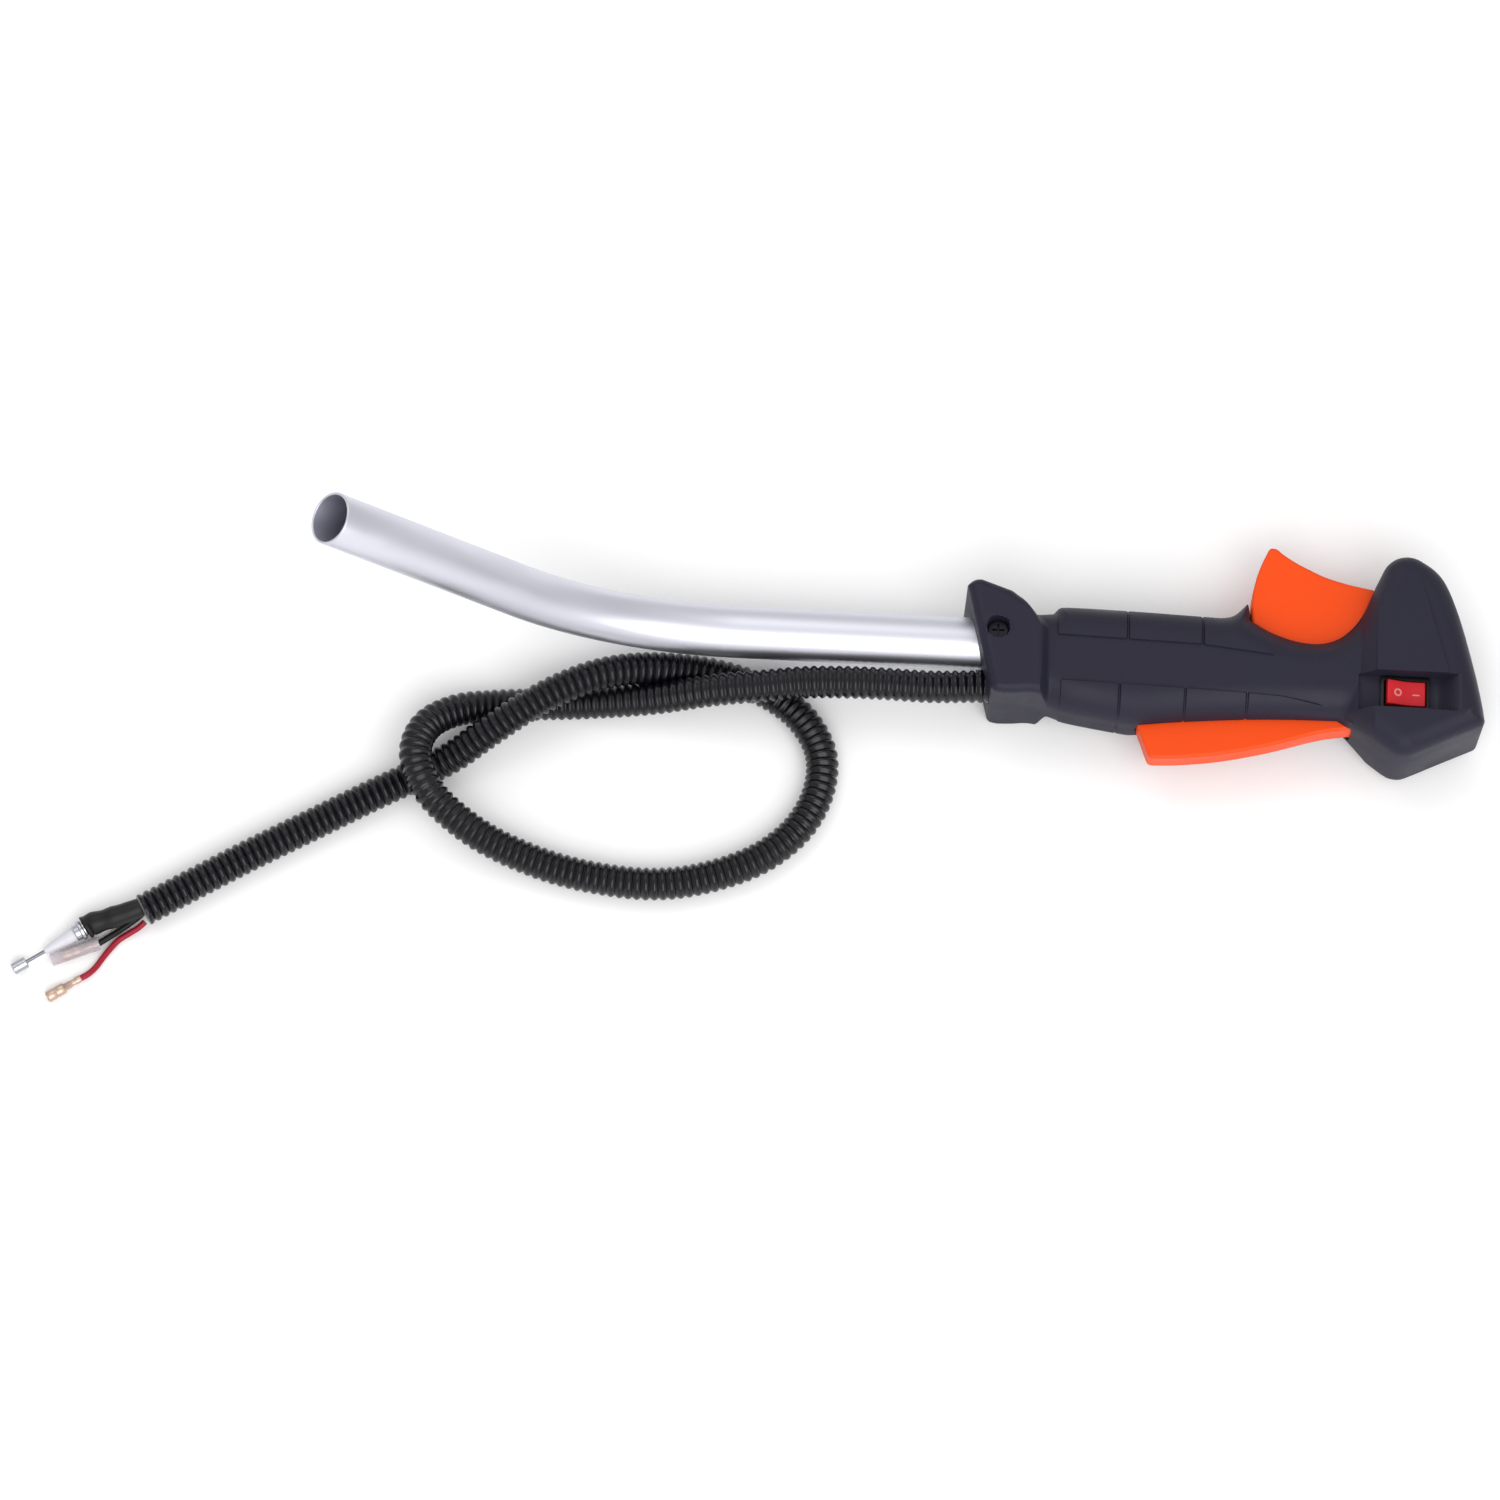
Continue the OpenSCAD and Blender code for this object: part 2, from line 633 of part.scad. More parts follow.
module clear_sleeve() {
    color([0.8, 0.78, 0.78, 0.5]) along(black_route[len(black_route) - 1] , sleeve_dir) difference() {
        cylinder(r = 2.8, h = 21);
        translate([0, 0, -1]) cylinder(r = 2.45, h = 23);
    }
}

module black_wire_bullet() {
    color(brass) along(black_route[len(black_route) - 1] + 0.2 * unit(sleeve_dir), sleeve_dir) bullet();
}

near_shell();
far_shell();
handlebar_tube();
tube_lock_screw();
tube_lock_nut();
shell_screws();
throttle_trigger();
trigger_pivot_pin();
trigger_return_spring();
safety_lever();
lever_pivot_pin();
lever_return_spring();
switch_housing();
rocker_button();
switch_terminals();
switch_wire_red();
switch_wire_black();
throttle_cable_sheath();
cable_stop_ferrule();
throttle_inner_wire();
barrel_nipple();
corrugated_conduit();
cable_boot();
cable_end_ferrule();
cable_nose();
far_inner_wire();
far_nipple();
red_wire();
red_wire_bullet();
black_wire();
clear_sleeve();
black_wire_bullet();
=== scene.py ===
from math import cos, pi, radians, sin

import bmesh
import bpy
import numpy as np
from mathutils import Matrix, Vector


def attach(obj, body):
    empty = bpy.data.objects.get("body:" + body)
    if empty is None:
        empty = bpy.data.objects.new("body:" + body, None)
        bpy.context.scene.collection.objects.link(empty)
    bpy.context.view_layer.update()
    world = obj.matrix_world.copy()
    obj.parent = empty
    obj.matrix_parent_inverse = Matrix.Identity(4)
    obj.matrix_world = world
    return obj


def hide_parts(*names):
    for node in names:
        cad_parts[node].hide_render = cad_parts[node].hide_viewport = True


# The throttle handle's looks: smooth moulded shells, a rounded trigger and lever, a rocker switch, a
# satin tube, and a ribbed conduit with the cable end and the wires on its free end.
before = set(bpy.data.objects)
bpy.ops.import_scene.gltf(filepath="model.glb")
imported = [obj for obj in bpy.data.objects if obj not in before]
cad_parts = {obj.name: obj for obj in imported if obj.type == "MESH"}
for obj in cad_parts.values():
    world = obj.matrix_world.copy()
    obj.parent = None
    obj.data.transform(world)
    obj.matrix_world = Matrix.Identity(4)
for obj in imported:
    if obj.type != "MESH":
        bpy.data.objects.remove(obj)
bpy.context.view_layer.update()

MM = 0.001
PARTING = 24.0          # height of the parting plane and of the tube's axis
WALL = 2.5              # thickness of the shells
POINTS_AT_ONCE = 6000   # keeps the distance tables small


# ------------------------------------------------------------------ shapes, in millimetres

def unit(v):
    return v / np.linalg.norm(v)


def smooth_line(points, steps=8):
    """A curve through given points, with the same spacing between each pair."""
    p = np.array(points, float)
    ends = np.vstack([2 * p[0] - p[1], p, 2 * p[-1] - p[-2]])
    line = []
    for a, b, c, d in zip(ends, ends[1:], ends[2:], ends[3:]):
        for t in np.arange(steps) / steps:
            line.append(0.5 * (2 * b + (c - a) * t + (2 * a - 5 * b + 4 * c - d) * t ** 2
                               + (3 * b - a - 3 * c + d) * t ** 3))
    return np.array(line + [p[-1]])


def arc(centre, radius, start, end, step=6):
    count = max(2, int(abs(end - start) / step) + 1)
    angles = np.radians(np.linspace(start, end, count))
    return [(centre[0] + radius * cos(a), centre[1] + radius * sin(a)) for a in angles]


def turned(points, pivot, degrees):
    a = radians(degrees)
    p = np.array(points, float) - pivot
    return p @ np.array([[cos(a), sin(a)], [-sin(a), cos(a)]]) + pivot


def depth_inside(points, polygon):
    """Distance to a polygon's edge, positive inside it."""
    a = np.array(polygon, float)
    b = np.roll(a, -1, axis=0)
    out = np.empty(len(points))
    for s in range(0, len(points), POINTS_AT_ONCE):
        q = points[s:s + POINTS_AT_ONCE, None]
        along = np.clip(((q - a) * (b - a)).sum(2) / ((b - a) ** 2).sum(1), 0, 1)
        near = np.sqrt(((q - a - along[..., None] * (b - a)) ** 2).sum(2)).min(1)
        crosses = (a[:, 1] > q[..., 1]) != (b[:, 1] > q[..., 1])
        rise = np.where(b[:, 1] == a[:, 1], 1e-9, b[:, 1] - a[:, 1])
        left = q[..., 0] < a[:, 0] + (q[..., 1] - a[:, 1]) * (b - a)[:, 0] / rise
        out[s:s + POINTS_AT_ONCE] = np.where((crosses & left).sum(1) % 2, near, -near)
    return out


def ease(x, low, high):
    t = np.clip((x - low) / (high - low), 0, 1)
    return t * t * (3 - 2 * t)


def piece(name, verts, faces, body, slot, material, replaces=(), sharp=35):
    """A mesh in place, its faces pointing outwards, riding on a body."""
    mesh = bpy.data.meshes.new(name)
    mesh.from_pydata([tuple(v) for v in np.asarray(verts) * MM], [], faces)
    bm = bmesh.new()
    bm.from_mesh(mesh)
    bmesh.ops.recalc_face_normals(bm, faces=bm.faces)
    bm.to_mesh(mesh)
    bm.free()
    return place(name, mesh, body, material, replaces, sharp)


def place(name, mesh, body, material, replaces=(), sharp=35):
    """An object from a finished mesh, smooth but for edges sharper than an angle in degrees."""
    mesh.shade_smooth()
    mesh.set_sharp_from_angle(angle=radians(sharp))
    mesh.materials.clear()
    mesh.materials.append(material)
    obj = bpy.data.objects.new(name, mesh)
    bpy.context.scene.collection.objects.link(obj)
    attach(obj, body)
    if replaces:
        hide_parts(*replaces)
    return obj


def skin(rings, loop=False):
    """Faces over a list of equal rings, closed into a loop or capped at both ends."""
    n = len(rings[0])
    verts = np.vstack(rings)
    pairs = [(i, i + 1) for i in range(len(rings) - 1)]
    if loop:
        pairs.append((len(rings) - 1, 0))
    faces = [(a * n + k, b * n + k, b * n + (k + 1) % n, a * n + (k + 1) % n)
             for a, b in pairs for k in range(n)]
    if not loop:
        faces += [tuple(range(n)), tuple(range((len(rings) - 1) * n, len(rings) * n))]
    return verts, faces


def ring_at(centre, axis, radius, sides, reference=(0, 0, 1)):
    """A circle of points round an axis."""
    across = unit(np.cross(reference, axis))
    up = np.cross(axis, across)
    a = np.linspace(0, 2 * pi, sides, endpoint=False)[:, None]
    return centre + radius * (np.cos(a) * across + np.sin(a) * up)


def sweep(line, radii, sides=16):
    """A round cord along a line, with one radius or one for each point."""
    line = np.array(line, float)
    axes = np.gradient(line, axis=0)
    radii = np.broadcast_to(radii, len(line))
    return skin([ring_at(p, unit(t), r, sides) for p, t, r in zip(line, axes, radii)])


def lathe(profile, start, direction, sides=40, loop=False):
    """A turned piece: its profile is (distance along the axis, radius)."""
    axis = unit(np.array(direction, float))
    rings = [ring_at(np.array(start, float) + axis * z, axis, r, sides) for z, r in profile]
    return skin(rings, loop)


def prism(polygon, low, high):
    return skin([np.column_stack([polygon, np.full(len(polygon), z)]) for z in (low, high)])


def joined(*shapes):
    verts, faces, base = [], [], 0
    for v, f in shapes:
        verts.append(v)
        faces += [tuple(i + base for i in face) for face in f]
        base += len(v)
    return np.vstack(verts), faces


def bevelled(obj, width, segments=4, angle=40):
    """Rounds the edges sharper than an angle in degrees."""
    mod = obj.modifiers.new("rounded_edges", "BEVEL")
    mod.width = width * MM
    mod.segments = segments
    mod.limit_method = "ANGLE"
    mod.angle_limit = radians(angle)
    mod.use_clamp_overlap = True


# ------------------------------------------------------------------ finishes

COLOUR_A, COLOUR_B, COLOUR_OUT = 6, 7, 2    # a mix node's colour sockets
DRIFT_SCALE = 28.0                          # soft patches of tone and gloss, about 35 mm across
GLOSS_DRIFT = 0.10
GRAIN_DEPTH = 0.0004


def srgb(r, g, b):
    return [(c / 255 / 12.92 if c < 11 else ((c / 255 + 0.055) / 1.055) ** 2.4) for c in (r, g, b)]


def finish(name, colour, rough, metallic=0.0, tone=0.10, grain=1800.0, bump=0.10, stretch=(1, 1, 1),
           specular=0.5, alpha=1.0, pebble=0.0):
    """A moulded or metal finish: its tone and gloss drift, and a fine grain or pebbling raises it."""
    mat = bpy.data.materials.new(name)
    mat.use_nodes = True
    nodes, links = mat.node_tree.nodes, mat.node_tree.links
    shader = nodes["Principled BSDF"]
    shader.inputs["Metallic"].default_value = metallic
    shader.inputs["Specular IOR Level"].default_value = specular
    shader.inputs["Alpha"].default_value = alpha
    where = nodes.new("ShaderNodeTexCoord")
    mapping = nodes.new("ShaderNodeMapping")
    mapping.inputs["Scale"].default_value = stretch
    links.new(where.outputs["Object"], mapping.inputs["Vector"])
    drift = nodes.new("ShaderNodeTexNoise")
    drift.inputs["Scale"].default_value = DRIFT_SCALE
    drift.inputs["Detail"].default_value = 5.0
    links.new(mapping.outputs["Vector"], drift.inputs["Vector"])
    mix = nodes.new("ShaderNodeMix")
    mix.data_type = "RGBA"
    mix.inputs[COLOUR_A].default_value = [c * (1 - tone) for c in colour] + [1]
    mix.inputs[COLOUR_B].default_value = [min(1, c * (1 + tone)) for c in colour] + [1]
    links.new(drift.outputs["Fac"], mix.inputs["Factor"])
    links.new(mix.outputs[COLOUR_OUT], shader.inputs["Base Color"])
    gloss = nodes.new("ShaderNodeMapRange")
    gloss.inputs["From Min"].default_value = 0.3
    gloss.inputs["From Max"].default_value = 0.7
    gloss.inputs["To Min"].default_value = max(0.02, rough - GLOSS_DRIFT)
    gloss.inputs["To Max"].default_value = min(1.0, rough + GLOSS_DRIFT)
    links.new(drift.outputs["Fac"], gloss.inputs["Value"])
    links.new(gloss.outputs["Result"], shader.inputs["Roughness"])
    fine = nodes.new("ShaderNodeTexNoise")
    fine.inputs["Scale"].default_value = grain
    fine.inputs["Detail"].default_value = 3.0
    links.new(mapping.outputs["Vector"], fine.inputs["Vector"])
    height = fine.outputs["Fac"]
    if pebble:
        cells = nodes.new("ShaderNodeTexVoronoi")
        cells.inputs["Scale"].default_value = pebble
        links.new(mapping.outputs["Vector"], cells.inputs["Vector"])
        both = nodes.new("ShaderNodeMath")
        both.operation = "ADD"
        links.new(height, both.inputs[0])
        links.new(cells.outputs["Distance"], both.inputs[1])
        height = both.outputs[0]
    lift = nodes.new("ShaderNodeBump")
    lift.inputs["Strength"].default_value = bump
    lift.inputs["Distance"].default_value = GRAIN_DEPTH
    links.new(height, lift.inputs["Height"])
    links.new(lift.outputs["Normal"], shader.inputs["Normal"])
    return mat


GRIP = finish("slate_grip_plastic", srgb(35, 34, 48), 0.48, grain=900, pebble=1400, specular=0.17)
ORANGE = finish("orange_trigger_plastic", srgb(228, 70, 2), 0.42, tone=0.04, bump=0.05, specular=0.22)
ALLOY = finish("satin_aluminium", srgb(212, 212, 222), 0.42, metallic=1.0, tone=0.05, grain=600,
               bump=0.05, stretch=(0.08, 1, 1))
ZINC = finish("zinc_plated_steel", srgb(176, 178, 184), 0.3, metallic=1.0, tone=0.1)
DARK_STEEL = finish("blackened_steel", srgb(38, 38, 44), 0.38, metallic=0.9, tone=0.2)
SPRING = finish("spring_steel", srgb(120, 122, 128), 0.28, metallic=1.0)
SWITCH = finish("black_switch_nylon", srgb(13, 12, 15), 0.45, tone=0.12, specular=0.3)
RED = finish("red_rocker_plastic", srgb(192, 26, 36), 0.4, tone=0.04, bump=0.02, specular=0.3)
MARK = finish("pale_rocker_marks", srgb(206, 128, 122), 0.5, tone=0.03, specular=0.3)
BRASS = finish("tinned_brass", srgb(198, 172, 156), 0.38, metallic=1.0, tone=0.08)
CONDUIT = finish("black_conduit_nylon", srgb(11, 10, 16), 0.27, tone=0.25, bump=0.04, specular=0.35)
CABLE = finish("black_cable_rubber", srgb(12, 12, 14), 0.5, tone=0.2, specular=0.3)
RED_WIRE = finish("red_wire_sheath", srgb(146, 9, 38), 0.35, tone=0.08, specular=0.3)
NOSE = finish("pale_nose_plastic", srgb(202, 200, 208), 0.4, tone=0.05)
VINYL = finish("clear_vinyl", srgb(204, 194, 200), 0.18, tone=0.05, alpha=0.34)


# ------------------------------------------------------------------ camera

CAMERA_TARGET = Vector((-0.1016, -0.05205, 0.024))
CAMERA_DISTANCE = 3.0
VIEW_WIDTH = 0.63
CAMERA_HEIGHT = radians(72)
CAMERA_ROLL = radians(2.8)


def add_camera():
    """A long lens above and in front of the handle, turned a little about its own axis."""
    data = bpy.data.cameras.new("camera")
    data.sensor_width = 36
    data.lens = data.sensor_width * CAMERA_DISTANCE / VIEW_WIDTH
    data.clip_start, data.clip_end = 0.1, 20
    back = Vector((0, -cos(CAMERA_HEIGHT), sin(CAMERA_HEIGHT)))
    up = Vector((0, sin(CAMERA_HEIGHT), cos(CAMERA_HEIGHT)))
    right = Vector((1, 0, 0)) * cos(CAMERA_ROLL) + up * sin(CAMERA_ROLL)
    up = up * cos(CAMERA_ROLL) - Vector((1, 0, 0)) * sin(CAMERA_ROLL)
    turn = Matrix((right, up, back)).transposed().to_4x4()
    camera = bpy.data.objects.new("camera", data)
    camera.matrix_world = Matrix.Translation(CAMERA_TARGET + back * CAMERA_DISTANCE) @ turn
    bpy.context.scene.collection.objects.link(camera)
    bpy.context.scene.camera = camera


add_camera()


# ------------------------------------------------------------------ cords

# Routes from the grip to the free end. The conduit ties an overhand knot on its way.
CONDUIT_ROUTE = [
    (8, -19, 24), (-5, -19, 24), (-27, -20, 23.5), (-52, -19.5, 23), (-77, -20, 22),
    (-97, -22.5, 21.5), (-119, -24.5, 18), (-144, -27, 10.5), (-169, -29, 7.2), (-193, -31, 7.2),
    (-210, -33, 8.5), (-226, -37, 12.5), (-238, -46, 17.5), (-242, -59.5, 21.5), (-237, -73.5, 21.5),
    (-226, -84, 17), (-208, -94, 11), (-183, -102.5, 7.5), (-158, -107, 7), (-136, -107.5, 7),
    (-115, -103, 7), (-95, -94, 7), (-80, -80.5, 7), (-72, -64, 7), (-71.5, -47, 7), (-80, -32, 7),
    (-94, -21.5, 7), (-111, -15.5, 7.5), (-130, -13.5, 10), (-149, -15.5, 15.5), (-166, -20.5, 20.5),
    (-182, -28, 22), (-197, -37, 20.5), (-212, -47, 16), (-226, -56.5, 10.5), (-241, -64.5, 7.2),
    (-260, -75, 7), (-284, -89, 7), (-309, -103.5, 7), (-331, -117, 7), (-352, -130, 7)]
RED_ROUTE = [
    (-351.4, -134.4, 4.5), (-354, -136.8, 3.4), (-358, -139.3, 2.2), (-362.5, -142.6, 1.6),
    (-367.2, -148.8, 1.5), (-370.4, -153.9, 1.5), (-373.3, -157.3, 1.9), (-376.6, -159.6, 2)]
BLACK_ROUTE = [
    (-353, -130.9, 3.2), (-356, -133.4, 2.6), (-361, -137.4, 2.4), (-365.8, -141.2, 2.8),
    (-370, -144.3, 2.9)]
BOOT_ROUTE = [
    (-353.1, -129.4, 9.4), (-355.6, -130.7, 9.3), (-364, -133.9, 8), (-373, -136.85, 6.25),
    (-375.95, -138.77, 6)]
CONDUIT_RADIUS = 7.0
CONDUIT_ROOT = 5.7
RIB_PITCH = 3.5
RINGS_PER_RIB = 7
CREST_SHARPNESS = 0.45      # below 1, the crests are wider than the valleys
CONDUIT_SIDES = 28
MERGE_WITHIN = 1e-6         # metres
WIRE_RADIUS = 1.3
CABLE_END = np.array([-376, -138.8, 6])      # where the ferrule meets the boot
NOSE_START, CORE_START, NIPPLE_START = 5, 14.5, 28.1    # along the cable, from its end
CABLE_DIR = unit(np.array([-0.836, -0.544, -0.07]))
BULLET_DIR = unit(np.array([-0.822, -0.569, 0.02]))
SLEEVE_DIR = unit(np.array([-0.92, -0.39, 0.0]))


def rib_tree(material):
    """A ribbed tube along a curve: the radius rises and falls once in each pitch."""
    tree = bpy.data.node_groups.new("conduit_ribs", "GeometryNodeTree")
    face = tree.interface
    face.new_socket("Geometry", in_out="INPUT", socket_type="NodeSocketGeometry")
    sizes = {}
    for label, kind in (("Root Radius", "Float"), ("Rib Height", "Float"), ("Rib Pitch", "Float"),
                        ("Ring Spacing", "Float"), ("Sides", "Int")):
        socket = face.new_socket(label, in_out="INPUT", socket_type="NodeSocket" + kind)
        sizes[label] = socket.identifier
    face.new_socket("Geometry", in_out="OUTPUT", socket_type="NodeSocketGeometry")
    add, link = tree.nodes.new, tree.links.new
    start, end = add("NodeGroupInput"), add("NodeGroupOutput")

    def maths(operation, *values):
        node = add("ShaderNodeMath")
        node.operation = operation
        for socket, value in zip(node.inputs, values):
            if isinstance(value, (int, float)):
                socket.default_value = value
            else:
                link(value, socket)
        return node.outputs[0]

    resample = add("GeometryNodeResampleCurve")
    resample.mode = "LENGTH"
    link(start.outputs["Geometry"], resample.inputs["Curve"])
    link(start.outputs["Ring Spacing"], resample.inputs["Length"])
    along = add("GeometryNodeSplineParameter")
    turns = maths("DIVIDE", along.outputs["Length"], start.outputs["Rib Pitch"])
    wave = maths("COSINE", maths("MULTIPLY", turns, 2 * pi))
    crest = maths("POWER", maths("MULTIPLY_ADD", wave, 0.5, 0.5), CREST_SHARPNESS)
    radius = maths("MULTIPLY_ADD", crest, start.outputs["Rib Height"], start.outputs["Root Radius"])
    circle = add("GeometryNodeCurvePrimitiveCircle")
    link(start.outputs["Sides"], circle.inputs["Resolution"])
    circle.inputs["Radius"].default_value = 1.0
    tube = add("GeometryNodeCurveToMesh")
    link(resample.outputs["Curve"], tube.inputs["Curve"])
    link(radius, tube.inputs["Scale"])
    link(circle.outputs["Curve"], tube.inputs["Profile Curve"])
    tube.inputs["Fill Caps"].default_value = True
    real = add("GeometryNodeRealizeInstances")
    link(tube.outputs["Mesh"], real.inputs["Geometry"])
    paint = add("GeometryNodeSetMaterial")
    paint.inputs["Material"].default_value = material
    link(real.outputs["Geometry"], paint.inputs["Geometry"])
    link(paint.outputs["Geometry"], end.inputs["Geometry"])
    return tree, sizes


def ribbed_conduit(line):
    """The conduit's mesh, read from its curve and rib tree."""
    curve = bpy.data.curves.new("conduit_line", "CURVE")
    curve.dimensions = "3D"
    spline = curve.splines.new("POLY")
    spline.points.add(len(line) - 1)
    for point, at in zip(spline.points, line * MM):
        point.co = (*at, 1)
    guide = bpy.data.objects.new("conduit_line", curve)
    bpy.context.scene.collection.objects.link(guide)
    tree, sizes = rib_tree(CONDUIT)
    mod = guide.modifiers.new("ribs", "NODES")
    mod.node_group = tree
    mod[sizes["Root Radius"]] = CONDUIT_ROOT * MM
    mod[sizes["Rib Height"]] = (CONDUIT_RADIUS - CONDUIT_ROOT) * MM
    mod[sizes["Rib Pitch"]] = RIB_PITCH * MM
    mod[sizes["Ring Spacing"]] = RIB_PITCH / RINGS_PER_RIB * MM
    mod[sizes["Sides"]] = CONDUIT_SIDES
    shown = guide.evaluated_get(bpy.context.evaluated_depsgraph_get())
    mesh = bpy.data.meshes.new_from_object(shown)
    bpy.data.objects.remove(guide)
    bm = bmesh.new()
    bm.from_mesh(mesh)
    bmesh.ops.remove_doubles(bm, verts=bm.verts, dist=MERGE_WITHIN)
    bmesh.ops.recalc_face_normals(bm, faces=bm.faces)
    bm.to_mesh(mesh)
    bm.free()
    return mesh


conduit_line = smooth_line(CONDUIT_ROUTE, 10)
conduit = place("ribbed_conduit", ribbed_conduit(conduit_line), "handle", CONDUIT,
                ["corrugated_conduit"], sharp=60)

black_line = smooth_line(BLACK_ROUTE)
black_wire = piece("black_switch_wire", *sweep(black_line, WIRE_RADIUS), "handle", "cable_black", CABLE,
                   ["black_wire"])
# the boot widens towards the cable's end and is ringed along its last part
boot_line = smooth_line(BOOT_ROUTE, 6)
boot_t = np.linspace(0, 1, len(boot_line))
boot_radii = 4.0 + boot_t + 0.25 * np.sin(boot_t * pi * 9) * ease(boot_t, 0.35, 0.5)
cable_boot = piece("moulded_cable_boot", *sweep(boot_line, boot_radii, 32), "handle", "cable_black", CABLE,
                   ["cable_boot"], sharp=50)
ferrule = piece("flanged_end_ferrule", *lathe(
    [(0, 1.0), (0, 3.0), (0.3, 3.4), (0.8, 3.4), (1.0, 4.15), (1.3, 4.4), (2.2, 4.4), (2.5, 4.15),
     (2.7, 3.4), (4.6, 3.4), (5, 3.1), (5, 1.0)], CABLE_END, CABLE_DIR, loop=True),
    "handle", "zinc_steel", ZINC, ["cable_end_ferrule"])
nose_at = CABLE_END + NOSE_START * CABLE_DIR
cable_nose = piece("tapered_cable_nose", *lathe(
    [(0, 0.95), (0, 2.7), (0.3, 2.9), (3.6, 2.9), (4.1, 2.7), (7, 2.3), (10.6, 1.9), (14.1, 1.5),
     (14.5, 1.3), (14.5, 0.95)], nose_at, CABLE_DIR, loop=True),
    "handle", "nose_plastic", NOSE, ["cable_nose"])
core_at = CABLE_END + CORE_START * CABLE_DIR
core = [(z, 0.75) for z in np.linspace(0, NIPPLE_START - CORE_START, 3)]
far_wire = piece("cable_core_wire", *lathe(core, core_at, CABLE_DIR, 16),
                 "far_cable_end", "spring_steel", SPRING, ["far_inner_wire"])
nipple_at = CABLE_END + NIPPLE_START * CABLE_DIR
far_nipple = piece("cable_core_nipple", *lathe(
    [(0, 0.5), (0, 2.1), (0.35, 2.5), (6.1, 2.5), (6.5, 2.1), (6.5, 1.2), (6.0, 0.9), (6.0, 0.3)],
    nipple_at, CABLE_DIR), "far_cable_end", "zinc_steel", ZINC, ["far_nipple"])


def bullet(name, start, direction, replaced):
    """A crimped bullet terminal with an open end."""
    profile = [(0, 0.4), (0, 1.45), (0.3, 1.55), (2.2, 1.55), (2.6, 1.3), (4.6, 1.3), (5, 1.55), (7.4, 1.55),
               (7.9, 2.1), (8.4, 2.4), (11.2, 2.4), (11.5, 2.2), (11.9, 2.2), (12.2, 2.4), (15.6, 2.4),
               (16, 2.15), (16, 1.8), (15.7, 1.72), (10.4, 1.72), (10.1, 1.4), (10.1, 0.3)]
    return piece(name, *lathe(profile, start, direction), "handle", "brass", BRASS, [replaced], sharp=50)


sleeve_at = np.array(BLACK_ROUTE[-1])
black_bullet = bullet("sleeved_bullet", sleeve_at + 0.2 * SLEEVE_DIR, SLEEVE_DIR, "black_wire_bullet")
sleeve = piece("clear_bullet_sleeve", *lathe(
    [(0, 2.46), (0, 2.75), (0.3, 2.8), (7, 2.74), (14, 2.8), (20.7, 2.8), (21, 2.7), (21, 2.46)],
    sleeve_at, SLEEVE_DIR, loop=True), "handle", "clear_vinyl", VINYL, ["clear_sleeve"])

red_line = smooth_line(RED_ROUTE)
red_wire = piece("red_switch_wire", *sweep(red_line, WIRE_RADIUS), "handle", "wire_red", RED_WIRE, ["red_wire"])
red_bullet = bullet("bare_bullet", RED_ROUTE[-1], BULLET_DIR, "red_wire_bullet")


# ------------------------------------------------------------------ grip shells

TRIGGER_PIVOT = np.array([164.0, 19.0])
TRIGGER_REACH = 57.0
TRIGGER_HALF = 7.0
TRIGGER_TRAVEL = 15
LEVER_PIVOT = np.array([154.0, -26.0])
LEVER_HALF = 6.0
LEVER_TRAVEL = 9
ARM_HALF = 4.5
PIN_HALF = 14.5
COLLAR_HALF, GRIP_HALF, HEAD_HALF = 24, 19, 24          # heights over the parting plane
COLLAR_EDGE, GRIP_EDGE, HEAD_EDGE = 4, 14, 9            # radii of their rounded edges
PAD_LIFT, PAD_BED = 0.95, -0.9                          # the pads over their bed, the bed under the dome
UPPER_NOTCH, LOWER_NOTCH = 0.7, 0.5                     # the grooves' depth at the outline
PANEL_LIFT, HEAD_SLOPE = 0.9, 0.07
THINNEST = 0.03
CHANNEL_FLOOR = 16.4
SCREW_SEAT, SCREW_RECESS = 16.0, 3.7
LOCK_SEAT, LOCK_RING, LOCK_RING_LIFT = 4.6, 5.4, 0.25   # round the tube's lock screw
PIPS = ((174.5, -42.6), (191.6, -36.2), (198.3, -26.5))
CABLE_Y = -10.74        # the throttle cable's line inside the grip
CONDUIT_Y = -19
NIPPLE = np.array([160.08, CABLE_Y])
NIPPLE_EYE = 4.9
SWITCH_CUT = (9.9, 6.9)     # half the length and half the width of the switch's opening
SOLID_TO = 20               # the collar is solid up to this x
RIBS, RIB_WIDTH, RIB_FOOT = (40, 65, 75), 3, -13.5
CABLE_STOP = (109.5, 122)
CABLE_STOP_HALF = 4.4
SCREW_BOSS, PIVOT_BOSS = 4.6, 5.5
MOVING_ROOM, SIDE_ROOM = 0.5, 0.4   # round a moving plate's outline, and beside its faces
SPRING_ROOM = (7, 12.6)             # radius and height
HUB_ROOM = (7.7, 7.4)               # the same
PIN_BORE, SCREW_BORE, NUT_POCKET = 2.56, 1.8, 4.7
SWITCH_AT = np.array([171.5, -19.0])
SCREWS = [(-3, 15.2), (92, 0), (178, 32), (189, 0), (171, -38)]

# Bores along X: their line's y, radius, start and end.
BORES = (
    (0, 11.05, -50, 75),            # the tube
    (CONDUIT_Y, 7.3, -50, 8),       # the conduit
    (CONDUIT_Y, 5.9, 7, 21),        # what leaves the conduit
    (CABLE_Y, 3.25, 108.5, 120.5),  # the cable's stop ferrule
    (CABLE_Y, 1.3, 117, 123))       # its inner wire
